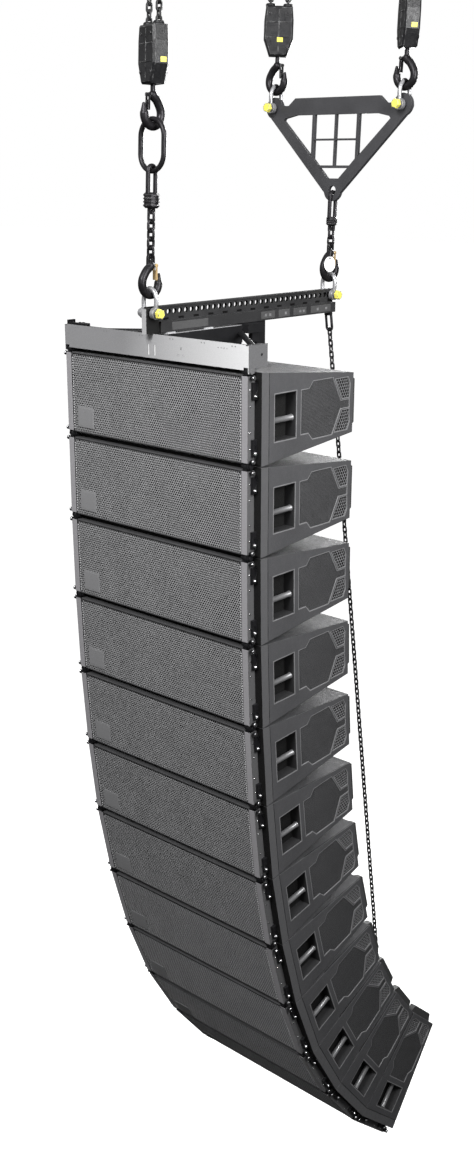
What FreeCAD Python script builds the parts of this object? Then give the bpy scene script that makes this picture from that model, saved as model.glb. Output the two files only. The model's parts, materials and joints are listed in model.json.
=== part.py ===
"""Line array loudspeaker, hung from three chain hoists.

Twelve identical wedge-shaped cabinets hang in one curved column below a flying frame.  The frame is
carried by a long load beam with a shackle at each end.  Millimetres, +Z up, the grilles face -Y.
The origin is the centre of the front shackle's pin, where the load beam hangs and pitches.
"""
import FreeCAD, Part
import math
import os

from FreeCAD import Placement, Rotation, Vector

os.makedirs("parts", exist_ok=True)

# ------------------------------------------------------------------ driving dimensions
# splay of cabinets 1 to 12 against the piece above, degrees, and the pitch of the flying frame
SPLAYS = [0, 0, 1, 1.5, 2, 2.5, 4.5, 4.5, 6, 8.5, 8, 10]
SITE_ANGLE = 2.5
SPLAY_MAX = 10.0

# cabinet: hinge pitch, width, and the side profile measured along Y from the front hinge axis
PITCH = 330.0
WIDTH = 1000.0
RAIL_FRONT = -16.0
FLANGE_Y = 20.0
REAR_Y = 534.0
TAPER = math.radians(5.8)
JOINT_GAP = 4.0
BOARD = 18.0
LID = 15.0
EDGE_R = 4.0

# front rails and hinges
RAIL_IN = 440.0
RAIL_OUT = 468.0
RAIL_WALL = 5.0
RAIL_END = 14.5
LUG_R = 13.0
TONGUE = 9.6
FORK_GAP = 10.6
BOLT_R = 5.85
FORK_BORE_R = 6.0
TONGUE_BORE_R = 6.15
KNOB_Z = 20.0

# rear splay blades, arcs centred on the front hinge axis
BLADE_X = 45.0
BLADE_R = 496.0
BLADE_HALF = 18.0
BLADE_T = 12.0
SLOT_GAP = 12.8
PIN_ANGLE = 8.0
POCKET_X = 78.0
POCKET_Y = 442.0

# load beam
BEAM_Y0 = -50.0
BEAM_Y1 = 1022.0
BEAM_WEB = 12.0
NOSE_END = 18.0
BEAM_TOP = 188.0
BEAM_WAIST = 134.0
BEAM_FOOT = 94.0
FRONT_PLATE_TOP = 92.0
HOLE_Z = 165.0
HOLE_R = 10.0
HOLE_PITCH = 30.0
FRONT_PICK_Y = -20.0
REAR_PICK_Y = 1000.0
REAR_PICK_R = 13.0

# lifting tackle
SHACKLE_BAR = 8.0
SHACKLE_RISE = 87.0
SHACKLE_PIN_R = 9.6
SHACKLE_EAR_R = 21.0
HOOK_R = 40.0
HOOK_BAR = 15.0
HOOK_RISE = 88.0
EYE_R = 8.0
EYE_OUTER_R = 17.0
EYE_HALF = 5.0
SEAT_GAP = 0.3
LINK_BAR = 4.0
LINK_R = 9.0
LINK_INNER = 24.0
LINK_SLACK = 0.4
SLING_BAR = 5.0
SLING_R = 13.0
SLING_INNER = 30.0
DELTA_X = 322.0
DELTA_RISE = 319.0
DELTA_LOBE_R = 42.0
DELTA_T = 16.0
DELTA_HOLE_R = 18.0
FALLS_TOP_Z = 1128.0
REAR_FALLS_TOP_Z = 1236.0
BLOCK_SIZE = (118.0, 62.0, 190.0)
FALL_X = 35.0
FALL_POCKET = 14.0

X_AXIS = Vector(1, 0, 0)
Y_AXIS = Vector(0, 1, 0)
Z_AXIS = Vector(0, 0, 1)


# ------------------------------------------------------------------ small helpers
def box(x0, x1, y0, y1, z0, z1):
    return Part.makeBox(x1 - x0, y1 - y0, z1 - z0, Vector(x0, y0, z0))


def rod(radius, start, end):
    axis = end - start
    return Part.makeCylinder(radius, axis.Length, start, axis)


def rod_x(radius, x0, x1, y, z):
    return rod(radius, Vector(x0, y, z), Vector(x1, y, z))


def rod_y(radius, y0, y1, x, z):
    return rod(radius, Vector(x, y0, z), Vector(x, y1, z))


def prism_x(outline, x0, x1):
    """Extrude an outline of (y, z) points from x0 to x1."""
    points = [Vector(x0, y, z) for y, z in outline]
    face = Part.Face(Part.makePolygon(points + points[:1]))
    return face.extrude(Vector(x1 - x0, 0, 0))


def prism_y(outline, y0, y1):
    """Extrude an outline of (x, z) points from y0 to y1."""
    points = [Vector(x, y0, z) for x, z in outline]
    face = Part.Face(Part.makePolygon(points + points[:1]))
    return face.extrude(Vector(0, y1 - y0, 0))


def fuse(shapes):
    result = shapes[0]
    if len(shapes) > 1:
        result = result.multiFuse(shapes[1:])
    return result.removeSplitter()


def mirrored(shape):
    """The same piece on the other side of the plane x = 0."""
    return shape.mirror(Vector(0, 0, 0), X_AXIS)


def both_sides(shapes):
    return shapes + [mirrored(shape) for shape in shapes]


def export(name, solids):
    shape = solids[0] if len(solids) == 1 else Part.makeCompound(solids)
    shape.exportStep("parts/" + name + ".step")


# ------------------------------------------------------------------ the hinge chain
TILT = Rotation(X_AXIS, SITE_ANGLE)
FRAME_AT = Placement(TILT.multVec(Vector(0, -FRONT_PICK_Y, -HOLE_Z)), TILT)


def hinge_frames():
    """Placement of each cabinet: its origin is its own front hinge axis, and it turns about X."""
    angle = SITE_ANGLE
    origin = FRAME_AT.Base
    frames = []
    for splay in SPLAYS:
        angle += splay
        turn = Rotation(X_AXIS, angle)
        frames.append(Placement(origin, turn))
        origin = origin + turn.multVec(Vector(0, 0, -PITCH))
    return frames


CABINET_AT = hinge_frames()


def placed(shapes, placement):
    result = []
    for shape in shapes:
        moved = shape.copy()
        moved.Placement = placement.multiply(shape.Placement)
        result.append(moved)
    return result


# ------------------------------------------------------------------ cabinet
def top_z(y):
    return -JOINT_GAP / 2 - (y - FLANGE_Y) * math.tan(TAPER)


def bottom_z(y):
    return -PITCH - top_z(y)


def wedge(x0, x1, y0, y1, inset=0.0):
    """Slice of the cabinet's wedge between two depths, its lid and floor moved inwards."""
    outline = [
        (y0, top_z(y0) - inset),
        (y1, top_z(y1) - inset),
        (y1, bottom_z(y1) + inset),
        (y0, bottom_z(y0) + inset),
    ]
    return prism_x(outline, x0, x1)


MIDDLE_Z = -PITCH / 2
HANDLE_Y = (88.0, 204.0)
HANDLE_Z = (-250.0, -84.0)
HANDLE_DEPTH = 46.0
HANDLE_BAR_Z = -180.0
HANDLE_BAR_R = 10.0
GRILLE_POCKET = [(230, 82), (274, 82), (297, 107), (412, 106), (461, 17), (513, 17)]
VENT_POCKET = [(420, 99), (502, 99), (516, 70), (512, 19), (465, 19)]
POCKET_DEPTH = 4.0
GROOVE_Y = 58.0
WOOFER_X = 292.0
WOOFER_R = 146.0
MID_X = 78.0
MID_Z = 78.0
MID_R = 60.0
HORN_X = 14.0
HORN_END = 30.0
BASKET_WALL = 8.0


def side_pockets():
    """Shallow pockets in the +X side: the side grille and the two rear vents."""
    upper = [(y, MIDDLE_Z + h) for y, h in GRILLE_POCKET]
    lower = [(y, MIDDLE_Z - h) for y, h in reversed(GRILLE_POCKET)]
    outlines = [upper + lower]
    outlines.append([(y, MIDDLE_Z + h) for y, h in VENT_POCKET])
    outlines.append([(y, MIDDLE_Z - h) for y, h in VENT_POCKET])
    half = WIDTH / 2
    return [prism_x(outline, half - POCKET_DEPTH, half + 1) for outline in outlines]


def housing():
    half = WIDTH / 2
    shell = wedge(-half, half, FLANGE_Y, REAR_Y)
    corners = [e for e in shell.Edges if abs(e.CenterOfMass.y - REAR_Y) < 1]
    shell = shell.makeFillet(EDGE_R, corners)

    recess = box(half - HANDLE_DEPTH, half + 1, *HANDLE_Y, *HANDLE_Z)
    recess_wall = box(half - HANDLE_DEPTH - 6, half, HANDLE_Y[0] - 6, HANDLE_Y[1] + 6,
                      HANDLE_Z[0] - 6, HANDLE_Z[1] + 6)
    rear_wall = box(-POCKET_X - 12, POCKET_X + 12, POCKET_Y - 12, REAR_Y, -PITCH, 0)
    cavity = wedge(-half + BOARD, half - BOARD, FLANGE_Y + BOARD, REAR_Y - BOARD, LID)
    cavity = cavity.cut([rear_wall] + both_sides([recess_wall]))

    cuts = [cavity, box(-POCKET_X, POCKET_X, POCKET_Y, REAR_Y + 1, -PITCH, 0)]
    groove = box(half - 1.5, half + 1, GROOVE_Y, GROOVE_Y + 2.5, -PITCH, 0)
    cuts += both_sides([recess, groove] + side_pockets())
    y0, y1 = FLANGE_Y - 1, FLANGE_Y + BOARD + 1
    for x in (-WOOFER_X, WOOFER_X):
        cuts.append(rod_y(WOOFER_R - 7, y0, y1, x, MIDDLE_Z))
    for x in (-MID_X, MID_X):
        for z in (MIDDLE_Z - MID_Z, MIDDLE_Z + MID_Z):
            cuts.append(rod_y(MID_R - 4, y0, y1, x, z))
    cuts.append(box(-HORN_X, HORN_X, y0, y1, -PITCH + HORN_END, -HORN_END))
    shell = shell.cut(cuts)

    bar = rod(HANDLE_BAR_R, Vector(half - 20, HANDLE_Y[0] - 4, HANDLE_BAR_Z),
              Vector(half - 20, HANDLE_Y[1] + 4, HANDLE_BAR_Z))
    bars = both_sides([bar])
    return [shell.cut(bars)] + bars


def driver(radius, rim, depth, magnet_r, magnet_t, x, z):
    """Cone loudspeaker as one turned solid: rim ring, thin cone and basket, magnet."""
    front = FLANGE_Y - 6
    hole = radius - rim
    back = front + depth + BASKET_WALL
    outline = [
        (0, front + 0.72 * depth),
        (0.27 * radius, front + depth),
        (hole - 8, front),
        (radius, front),
        (radius, FLANGE_Y),
        (hole, FLANGE_Y),
        (0.7 * magnet_r, back),
        (magnet_r, back),
        (magnet_r, back + magnet_t),
        (0, back + magnet_t),
    ]
    points = [Vector(x + r, y, z) for r, y in outline]
    face = Part.Face(Part.makePolygon(points + points[:1]))
    return face.revolve(Vector(x, 0, z), Y_AXIS, 360)


def drivers():
    solids = []
    for x in (-WOOFER_X, WOOFER_X):
        solids.append(driver(WOOFER_R, 8, 47, 55, 30, x, MIDDLE_Z))
    for x in (-MID_X, MID_X):
        for z in (MIDDLE_Z - MID_Z, MIDDLE_Z + MID_Z):
            solids.append(driver(MID_R, 5, 24, 26, 15, x, z))
    throat = FLANGE_Y + 100
    gap, wall = 0.5, 5.0
    horn = box(-HORN_X + gap, HORN_X - gap, FLANGE_Y - 6, throat,
               -PITCH + HORN_END + gap, -HORN_END - gap)
    horn = horn.cut(box(-HORN_X + wall, HORN_X - wall, FLANGE_Y - 7, throat - 8,
                        -PITCH + HORN_END + wall, -HORN_END - wall))
    pressure_units = [rod_y(38, throat, throat + 50, 0, MIDDLE_Z + dz) for dz in (-70, 70)]
    solids.append(horn)
    solids.extend(pressure_units)
    return solids


GRILLE_X = 438.0
GRILLE_Z = (-319.0, -11.0)
GRILLE_FRONT = -14.0
SHEET = 1.5


def grille():
    z0, z1 = GRILLE_Z
    tray = box(-GRILLE_X, GRILLE_X, GRILLE_FRONT, FLANGE_Y - 8, z0, z1)
    hollow = box(-GRILLE_X + SHEET, GRILLE_X - SHEET, GRILLE_FRONT + SHEET, FLANGE_Y, z0 + SHEET, z1 - SHEET)
    badge = box(-412, -322, GRILLE_FRONT - 1.5, GRILLE_FRONT, z0 + 22, z0 + 104)
    return [tray.cut(hollow), badge]


def lug(x0, x1, z_root, z_pin):
    """Flat hinge lug with a round end on the hinge axis."""
    body = box(x0, x1, -LUG_R, LUG_R, min(z_root, z_pin), max(z_root, z_pin))
    return fuse([body, rod_x(LUG_R, x0, x1, 0, z_pin)])


def fork(z_root, z_pin):
    """Two hinge cheeks, bored for the hinge bolt."""
    middle = (RAIL_IN + RAIL_OUT) / 2
    cheeks = [
        lug(RAIL_IN + 1, middle - FORK_GAP / 2, z_root, z_pin),
        lug(middle + FORK_GAP / 2, RAIL_OUT - 1, z_root, z_pin),
    ]
    bore = rod_x(FORK_BORE_R, RAIL_IN - 1, RAIL_OUT + 1, 0, z_pin)
    return [cheek.cut(bore) for cheek in cheeks]


def hinge_bolt(z):
    shank = rod_x(BOLT_R, RAIL_IN - 3, RAIL_OUT + 4, 0, z)
    head = rod_x(9, RAIL_IN - 8, RAIL_IN - 1, 0, z)
    nut = rod_x(9, RAIL_OUT + 1, RAIL_OUT + 6, 0, z)
    return fuse([shank, head, nut])


def knob(z):
    """Quick-release knob standing out of the rail's side."""
    stem = rod_x(4, RAIL_OUT, RAIL_OUT + 8, -3, z)
    grip = rod_x(7.5, RAIL_OUT + 6, RAIL_OUT + 20, -3, z)
    return fuse([stem, grip])


def catch_block(z0, z1):
    """Spring catch in the recess beside the rail, with its ball-headed release."""
    block = box(RAIL_OUT, RAIL_OUT + 12, 0, FLANGE_Y, z0, z1)
    ball = Part.makeSphere(6.5, Vector(RAIL_OUT + 14, 8, z0 + 12))
    return fuse([block, ball])


def front_rail():
    z_top, z_low = -RAIL_END, -PITCH + RAIL_END
    outer = box(RAIL_IN, RAIL_OUT, RAIL_FRONT, FLANGE_Y, z_low, z_top)
    channel = box(RAIL_IN + RAIL_WALL, RAIL_OUT - RAIL_WALL, RAIL_FRONT + RAIL_WALL, FLANGE_Y + 1,
                  z_low - 1, z_top + 1)
    rail = outer.cut(channel)
    middle = (RAIL_IN + RAIL_OUT) / 2
    tongue = lug(middle - TONGUE / 2, middle + TONGUE / 2, -62, 0)
    tongue = tongue.cut(rod_x(TONGUE_BORE_R, RAIL_IN, RAIL_OUT, 0, 0))
    root = box(RAIL_IN + 2, RAIL_OUT - 2, RAIL_FRONT + 2, FLANGE_Y - 2, -62, -42)
    return fuse([rail, tongue, root] + fork(z_low + 14, -PITCH))


def blade(x):
    """Splay blade below the hinge line of the piece that carries it; its hinge axis is y = z = 0."""
    low, high = math.radians(-PIN_ANGLE - 2), math.radians(9.5)
    inner, outer = BLADE_R - BLADE_HALF, BLADE_R + BLADE_HALF

    def at(radius, angle):
        return Vector(x - BLADE_T / 2, radius * math.cos(angle), radius * math.sin(angle))

    def sector(r0, r1, a0, a1):
        mid = (a0 + a1) / 2
        edges = [
            Part.Arc(at(r1, a0), at(r1, mid), at(r1, a1)).toShape(),
            Part.makeLine(at(r1, a1), at(r0, a1)),
            Part.Arc(at(r0, a1), at(r0, mid), at(r0, a0)).toShape(),
            Part.makeLine(at(r0, a0), at(r1, a0)),
        ]
        return Part.Face(Part.Wire(edges)).extrude(Vector(BLADE_T, 0, 0))

    slot_half = 5.5
    a0, a1 = math.radians(-PIN_ANGLE), math.radians(SPLAY_MAX - PIN_ANGLE)
    slot = [sector(BLADE_R - slot_half, BLADE_R + slot_half, a0, a1)]
    for angle in (a0, a1):
        end = at(BLADE_R, angle)
        slot.append(rod_x(slot_half, end.x, end.x + BLADE_T, end.y, end.z))
    return sector(inner, outer, low, high).cut(slot)


def blade_anchor(x):
    """Block that holds the top of a splay blade to the pocket's wall."""
    z0, z1 = 62.0, 92.0
    return box(x - 14, x + 14, POCKET_Y, BLADE_R + 34, z0, z1)


def splay_arm(x):
    arm = fuse([blade(x), blade_anchor(x)])
    arm.translate(Vector(0, 0, -PITCH))
    return arm


def blade_channel(x):
    """Guide that the blade from above slides in, open at the top and rear."""
    y0, y1, z_low = POCKET_Y, REAR_Y - 4, -192.0
    outline = [(y0, top_z(y0) - 2), (y1, top_z(y1) - 2), (y1, z_low), (y0, z_low)]
    block = prism_x(outline, x - 11.4, x + 11.4)
    slot = box(x - SLOT_GAP / 2, x + SLOT_GAP / 2, y0 + 6, y1 + 1, z_low + 5, 0)
    angle = math.radians(-PIN_ANGLE)
    y, z = BLADE_R * math.cos(angle), BLADE_R * math.sin(angle)
    bore = rod_x(5.0, x - 20, x + 20, y, z)
    pin = fuse([rod_x(5.0, x - 16, x + 16, y, z), rod_x(9.0, x + 11.4, x + 22, y, z)])
    return [block.cut([slot, bore]), pin]


def rear_skid():
    """Bumper rail near each rear corner."""
    x0, x1, depth = 452.0, 478.0, 34.0
    z0, z1 = bottom_z(REAR_Y) + 8, top_z(REAR_Y) - 8
    outline = [(REAR_Y, z0), (REAR_Y + depth, z0 + 22), (REAR_Y + depth, z1 - 22), (REAR_Y, z1)]
    return prism_x(outline, x0, x1)


def rigging(last):
    solids = [front_rail(), knob(-KNOB_Z), knob(-PITCH + KNOB_Z), rear_skid()]
    solids += [catch_block(-96, -36), catch_block(-PITCH + 36, -PITCH + 96)]
    if not last:
        solids.append(hinge_bolt(-PITCH))
    solids.append(splay_arm(BLADE_X))
    solids += blade_channel(BLADE_X)
    return both_sides(solids)


# ------------------------------------------------------------------ flying frame and load beam
def flying_frame():
    front_plate = box(-459, 459, RAIL_FRONT, -6, 5, 92)
    slots = [box(x - 3, x + 3, -17, -5, 16, 54) for x in (-14, 18)]
    tongue_notch = box(RAIL_IN + 8, RAIL_OUT - 8, -17, -5, 4, LUG_R + 2)
    front_plate = front_plate.cut(slots + both_sides([tongue_notch]))
    tube = box(-436, 436, -6, 30, 22, 84).cut(box(-437, 437, -2, 26, 26, 80))
    spine = box(-30, 30, 26, POCKET_Y, 22, 88).cut(box(-24, 24, 30, POCKET_Y + 1, 28, 82))
    foot = box(-60, 60, POCKET_Y, 528, 58, 92)
    tower = box(-16, 16, 528, 590, -4, 94).cut(box(-10, 10, 534, 584, 2, 93))
    pieces = [front_plate, tube, spine, foot, tower]
    corner = box(436, RAIL_OUT, RAIL_FRONT, 82, RAIL_END, 88)
    corner = corner.cut(box(442, RAIL_OUT - 5, -11, 83, RAIL_END - 1, 83))
    end_plate = prism_x([(-16, -6), (16, -6), (16, 12), (82, 12), (82, 90), (-16, 90)], RAIL_OUT, RAIL_OUT + 3)
    end_plate = end_plate.cut(rod_x(5, RAIL_OUT - 1, RAIL_OUT + 4, 52, 54))
    brace = rod(11, Vector(448, 60, 60), Vector(24, 440, 56))
    pieces += both_sides([corner, end_plate, brace] + fork(40, 0))
    pieces += [fuse([blade(x), box(x - 14, x + 14, POCKET_Y, 526, 62, 80)]) for x in (-BLADE_X, BLADE_X)]
    cradles = [box(-30, 30, y, y + 40, 84, BEAM_FOOT) for y in (40, 240)]
    body = fuse(pieces + cradles)
    bolts = both_sides([hinge_bolt(0)])
    return [body.cut(bolts)] + bolts


def pick_holes():
    """Where the row's holes are, from the first one clear of the nose."""
    count = int((REAR_PICK_Y - FRONT_PICK_Y) / HOLE_PITCH)
    return [FRONT_PICK_Y + HOLE_PITCH * k for k in range(2, count)]


def load_beam():
    half = BEAM_WEB / 2
    web = box(-half, half, BEAM_Y0 + 8, BEAM_Y1, BEAM_WAIST - 10, BEAM_TOP)
    cap = box(-10, 10, 14, BEAM_Y1, BEAM_TOP - 6, BEAM_TOP)
    chord = box(-22, 22, 14, BEAM_Y1, BEAM_FOOT, BEAM_WAIST)
    chord = chord.cut(box(-17, 17, 20, BEAM_Y1 + 1, BEAM_FOOT + 5, BEAM_WAIST - 5))
    nose = box(-11, 11, BEAM_Y0, NOSE_END, FRONT_PLATE_TOP, 182)
    body = fuse([web, cap, chord, nose])
    holes = [rod_x(HOLE_R, -12, 12, y, HOLE_Z) for y in pick_holes()]
    holes.append(rod_x(HOLE_R, -12, 12, FRONT_PICK_Y, HOLE_Z))
    holes.append(rod_x(REAR_PICK_R, -12, 12, REAR_PICK_Y, HOLE_Z))
    return [body.cut(holes)]


# ------------------------------------------------------------------ lifting tackle
def seat_rise(bar, radius, half):
    """How far a link's inner crown has climbed above its centre line at a plate's faces."""
    return radius - math.sqrt((radius - bar) ** 2 - half ** 2)


def link(bar, radius, length, top, plane="XZ"):
    """Chain link: centre line of the given total length, its upper crown at the point top."""
    side = X_AXIS if plane == "XZ" else Y_AXIS
    upper = top - Z_AXIS * radius
    lower = top - Z_AXIS * (length - radius)
    a, b = upper + side * radius, upper - side * radius
    c, d = lower - side * radius, lower + side * radius
    edges = [Part.Arc(a, top, b).toShape()]
    if length > 2 * radius + 0.01:
        edges.append(Part.makeLine(b, c))
    edges.append(Part.Arc(c, lower - Z_AXIS * radius, d).toShape())
    if length > 2 * radius + 0.01:
        edges.append(Part.makeLine(d, a))
    path = Part.Wire(edges)
    section = Part.Wire(Part.makeCircle(bar, top, side))
    return path.makePipeShell([section], True, False)


def chain_links(count, top, first="YZ", bar=LINK_BAR, radius=LINK_R, inner=LINK_INNER):
    """A run of links hanging from the point top, each turned a quarter against the one above."""
    planes = ["YZ", "XZ"] if first == "YZ" else ["XZ", "YZ"]
    step = inner - LINK_SLACK
    return [link(bar, radius, inner + bar * 2, top - Z_AXIS * (step * k), planes[k % 2]) for k in range(count)]


def chain_height(count, bar=LINK_BAR, inner=LINK_INNER):
    """Centre line height of a run of links."""
    return inner + bar * 2 + (count - 1) * (inner - LINK_SLACK)


def shackle(pin_centre):
    """Bow shackle, pin along X, bow above; returns the bow and its pin."""
    c = pin_centre
    half, shoulder = 27.0, 32.0
    curve = Part.BSplineCurve()
    curve.interpolate([Vector(x, 0, z) for x, z in (
        (-half, 0), (-shoulder, 40), (-24, SHACKLE_RISE - 15), (0, SHACKLE_RISE),
        (24, SHACKLE_RISE - 15), (shoulder, 40), (half, 0))])
    start, direction = curve.value(curve.FirstParameter), curve.tangent(curve.FirstParameter)[0]
    section = Part.Wire(Part.makeCircle(SHACKLE_BAR, start, direction))
    bow = Part.Wire([curve.toShape()]).makePipeShell([section], True, False)
    ears = [rod_x(SHACKLE_EAR_R, x - 8, x + 8, 0, 0) for x in (-half, half)]
    bow = fuse([bow] + ears).cut(rod_x(SHACKLE_PIN_R + 0.2, -60, 60, 0, 0))
    pin = fuse([
        rod_x(SHACKLE_PIN_R, -46, 50, 0, 0),
        rod_x(12, 38.5, 46, 0, 0),
        rod_x(16, 45, 60, 0, 0),
        rod_x(14, -49, -38.5, 0, 0),
    ])
    bow.translate(c)
    pin.translate(c)
    return [bow, pin]


HOOK_NECK = [(0, 62), (-14, 49), (-31, 28), (-HOOK_R, 0)]
HOOK_TIP = Vector(0, HOOK_R + 3, 30)
HOOK_TIP_R = 6.0
SHANK_R = 9.0
SHANK_IN_BLOCK = 26.0
SWIVEL_RISE = 96.0
LATCH_PIVOT = Vector(0, 23.0, 62.0)
LATCH_END = Vector(0, 24.5, 12.0)


def hook(bowl, eye=True):
    """Lifting hook in the YZ plane with its bowl's centre at bowl; the throat opens to +Y."""
    back, low, front = Vector(0, -HOOK_R, 0), Vector(0, 0, -HOOK_R), Vector(0, HOOK_R, 0)
    neck = Part.BSplineCurve()
    neck.interpolate([Vector(0, y, z) for y, z in HOOK_NECK],
                     InitialTangent=Vector(0, -20, -45), FinalTangent=Vector(0, 0, -60))
    path = Part.Wire([neck.toShape(), Part.Arc(back, low, front).toShape()])
    start = Vector(0, *HOOK_NECK[0])
    section = Part.Wire(Part.makeCircle(HOOK_BAR, start, Vector(0, -20, -45)))
    bend = path.makePipeShell([section], True, False)
    rise = HOOK_TIP - front
    point = Part.makeCone(HOOK_BAR, HOOK_TIP_R, rise.Length, front, rise)
    pieces = [bend, point, Part.makeSphere(HOOK_BAR, front), Part.makeSphere(HOOK_BAR, start)]
    pieces.append(Part.makeSphere(HOOK_TIP_R, HOOK_TIP))
    pieces.append(box(-5, 5, 0, LATCH_PIVOT.y + 6, LATCH_PIVOT.z - 6, LATCH_PIVOT.z + 6))
    cuts = [rod_x(3.3, -20, 20, LATCH_PIVOT.y, LATCH_PIVOT.z)]
    if eye:
        pieces.append(box(-EYE_HALF, EYE_HALF, -EYE_OUTER_R, EYE_OUTER_R, HOOK_RISE - 26, HOOK_RISE))
        pieces.append(rod_x(EYE_OUTER_R, -EYE_HALF, EYE_HALF, 0, HOOK_RISE))
        cuts.append(rod_x(EYE_R, -10, 10, 0, HOOK_RISE))
    else:
        pieces.append(rod(SHANK_R, start, Vector(0, 0, SWIVEL_RISE + SHANK_IN_BLOCK)))
    body = fuse(pieces).cut(cuts)
    body.translate(bowl)
    return body


def latch(bowl):
    """Sprung latch that closes the hook's throat from inside, with its pin."""
    run = LATCH_END - LATCH_PIVOT
    arms = []
    for x0, x1 in ((-8.6, -5.6), (5.6, 8.6)):
        arms.append(box(x0, x1, -4, 4, -run.Length, 0))
    arms.append(box(-8.6, 8.6, -4, -0.5, -run.Length, -16))
    angle = math.degrees(math.atan2(run.y, -run.z))
    for arm in arms:
        arm.Placement = Placement(LATCH_PIVOT, Rotation(X_AXIS, angle))
    bosses = [rod_x(7, x0, x0 + 3, LATCH_PIVOT.y, LATCH_PIVOT.z) for x0 in (-8.6, 5.6)]
    pin = rod_x(3.0, -9.6, 9.6, LATCH_PIVOT.y, LATCH_PIVOT.z)
    body = fuse(arms + bosses + [pin])
    body.translate(bowl)
    return body


def world(y, z):
    """A point of the flying frame's own frame, at x = 0, in the part's frame."""
    return FRAME_AT.multVec(Vector(0, y, z))


FRONT_PICK = world(FRONT_PICK_Y, HOLE_Z)
REAR_PICK = world(REAR_PICK_Y, HOLE_Z)
BOWL_OVER_PIN = SHACKLE_RISE - SHACKLE_BAR - 0.3 + HOOK_R - HOOK_BAR
EYE_BAR_LIFT = EYE_R - seat_rise(SLING_BAR, SLING_R, EYE_HALF) - SEAT_GAP


def front_bowl():
    return FRONT_PICK + Z_AXIS * BOWL_OVER_PIN


def rear_bowl():
    return REAR_PICK + Z_AXIS * BOWL_OVER_PIN


def sling_chain(bowl, count):
    """Links standing on the hook's eye; returns them, the top link's crown and its plane."""
    low = bowl + Z_AXIS * (HOOK_RISE + EYE_BAR_LIFT)
    top = low + Z_AXIS * chain_height(count, SLING_BAR, SLING_INNER)
    plane = "XZ" if count % 2 else "YZ"
    return chain_links(count, top, plane, SLING_BAR, SLING_R, SLING_INNER), top, plane


CLUTCH_RISE = 46.0
COUPLING_RISE = 28.0
CLUTCH_HOLE_R = 9.8
CLUTCH_HALF = 6.5
CLUTCH_FORK_R = 6.5
CLUTCH_FORK_HALF = 3.5
JOINER_BAR = 8.0
JOINER_R = 18.0
JOINER_LENGTH = 107.0
COUPLING_LENGTH = 114.0
MASTER_BAR = 9.0
MASTER_R = 57.0
MASTER_LENGTH = 172.0
CLUTCH_PIN_OVER_LINK = CLUTCH_FORK_R - seat_rise(SLING_BAR, SLING_R, CLUTCH_FORK_HALF) - SEAT_GAP
JOINER_SEAT = CLUTCH_HOLE_R - seat_rise(JOINER_BAR, JOINER_R, CLUTCH_HALF) - SEAT_GAP


def clutch(low_pin, rise, plane):
    """Coupling: a thin fork for the sling chain below, a thick faceted head for the link above."""
    top, shoulder = rise + 15, rise - 30
    low = max(shoulder, 12)
    waist = (low + top) / 2
    half_width = 0.5 * (top - low) + 7
    outline = [
        (-0.68 * half_width, low), (0.68 * half_width, low), (half_width, waist - 7), (half_width, waist + 7),
        (0.68 * half_width, top), (-0.68 * half_width, top), (-half_width, waist + 7), (-half_width, waist - 7),
    ]
    head = prism_y(outline, -CLUTCH_HALF, CLUTCH_HALF)
    head = head.cut(rod_y(CLUTCH_HOLE_R, -10, 10, 0, rise))
    fork_plate = box(-16, 16, -CLUTCH_FORK_HALF, CLUTCH_FORK_HALF, -11, low + 2)
    fork_plate = fork_plate.cut(rod_y(CLUTCH_FORK_R, -10, 10, 0, 0))
    if plane == "XZ":
        fork_plate.rotate(Vector(0, 0, 0), Z_AXIS, 90)
    body = fuse([head, fork_plate])
    body.translate(low_pin)
    return body


def front_sling():
    bowl = front_bowl()
    links, top, plane = sling_chain(bowl, 5)
    solids = shackle(FRONT_PICK) + [hook(bowl)] + links
    low_pin = top + Z_AXIS * CLUTCH_PIN_OVER_LINK
    solids.append(clutch(low_pin, CLUTCH_RISE, plane))
    joiner_top = low_pin + Z_AXIS * (CLUTCH_RISE + JOINER_SEAT + JOINER_LENGTH)
    solids.append(link(JOINER_BAR, JOINER_R, JOINER_LENGTH, joiner_top, "YZ"))
    ring_low = joiner_top - Z_AXIS * (JOINER_BAR + MASTER_BAR + 0.4)
    ring_top = ring_low + Z_AXIS * MASTER_LENGTH
    solids.append(link(MASTER_BAR, MASTER_R, MASTER_LENGTH, ring_top, "XZ"))
    hoist_bowl = ring_top + Z_AXIS * (HOOK_R - HOOK_BAR - MASTER_BAR - 0.3)
    solids += hoist_hook(hoist_bowl, 180.0)
    return solids, hoist_bowl


def hoist_hook(bowl, turned):
    """Hook below a hoist's block: same bowl and latch, with a round shank on top."""
    solids = [hook(bowl, False), latch(bowl)]
    for solid in solids:
        solid.rotate(bowl, Z_AXIS, turned)
    return solids


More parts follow.
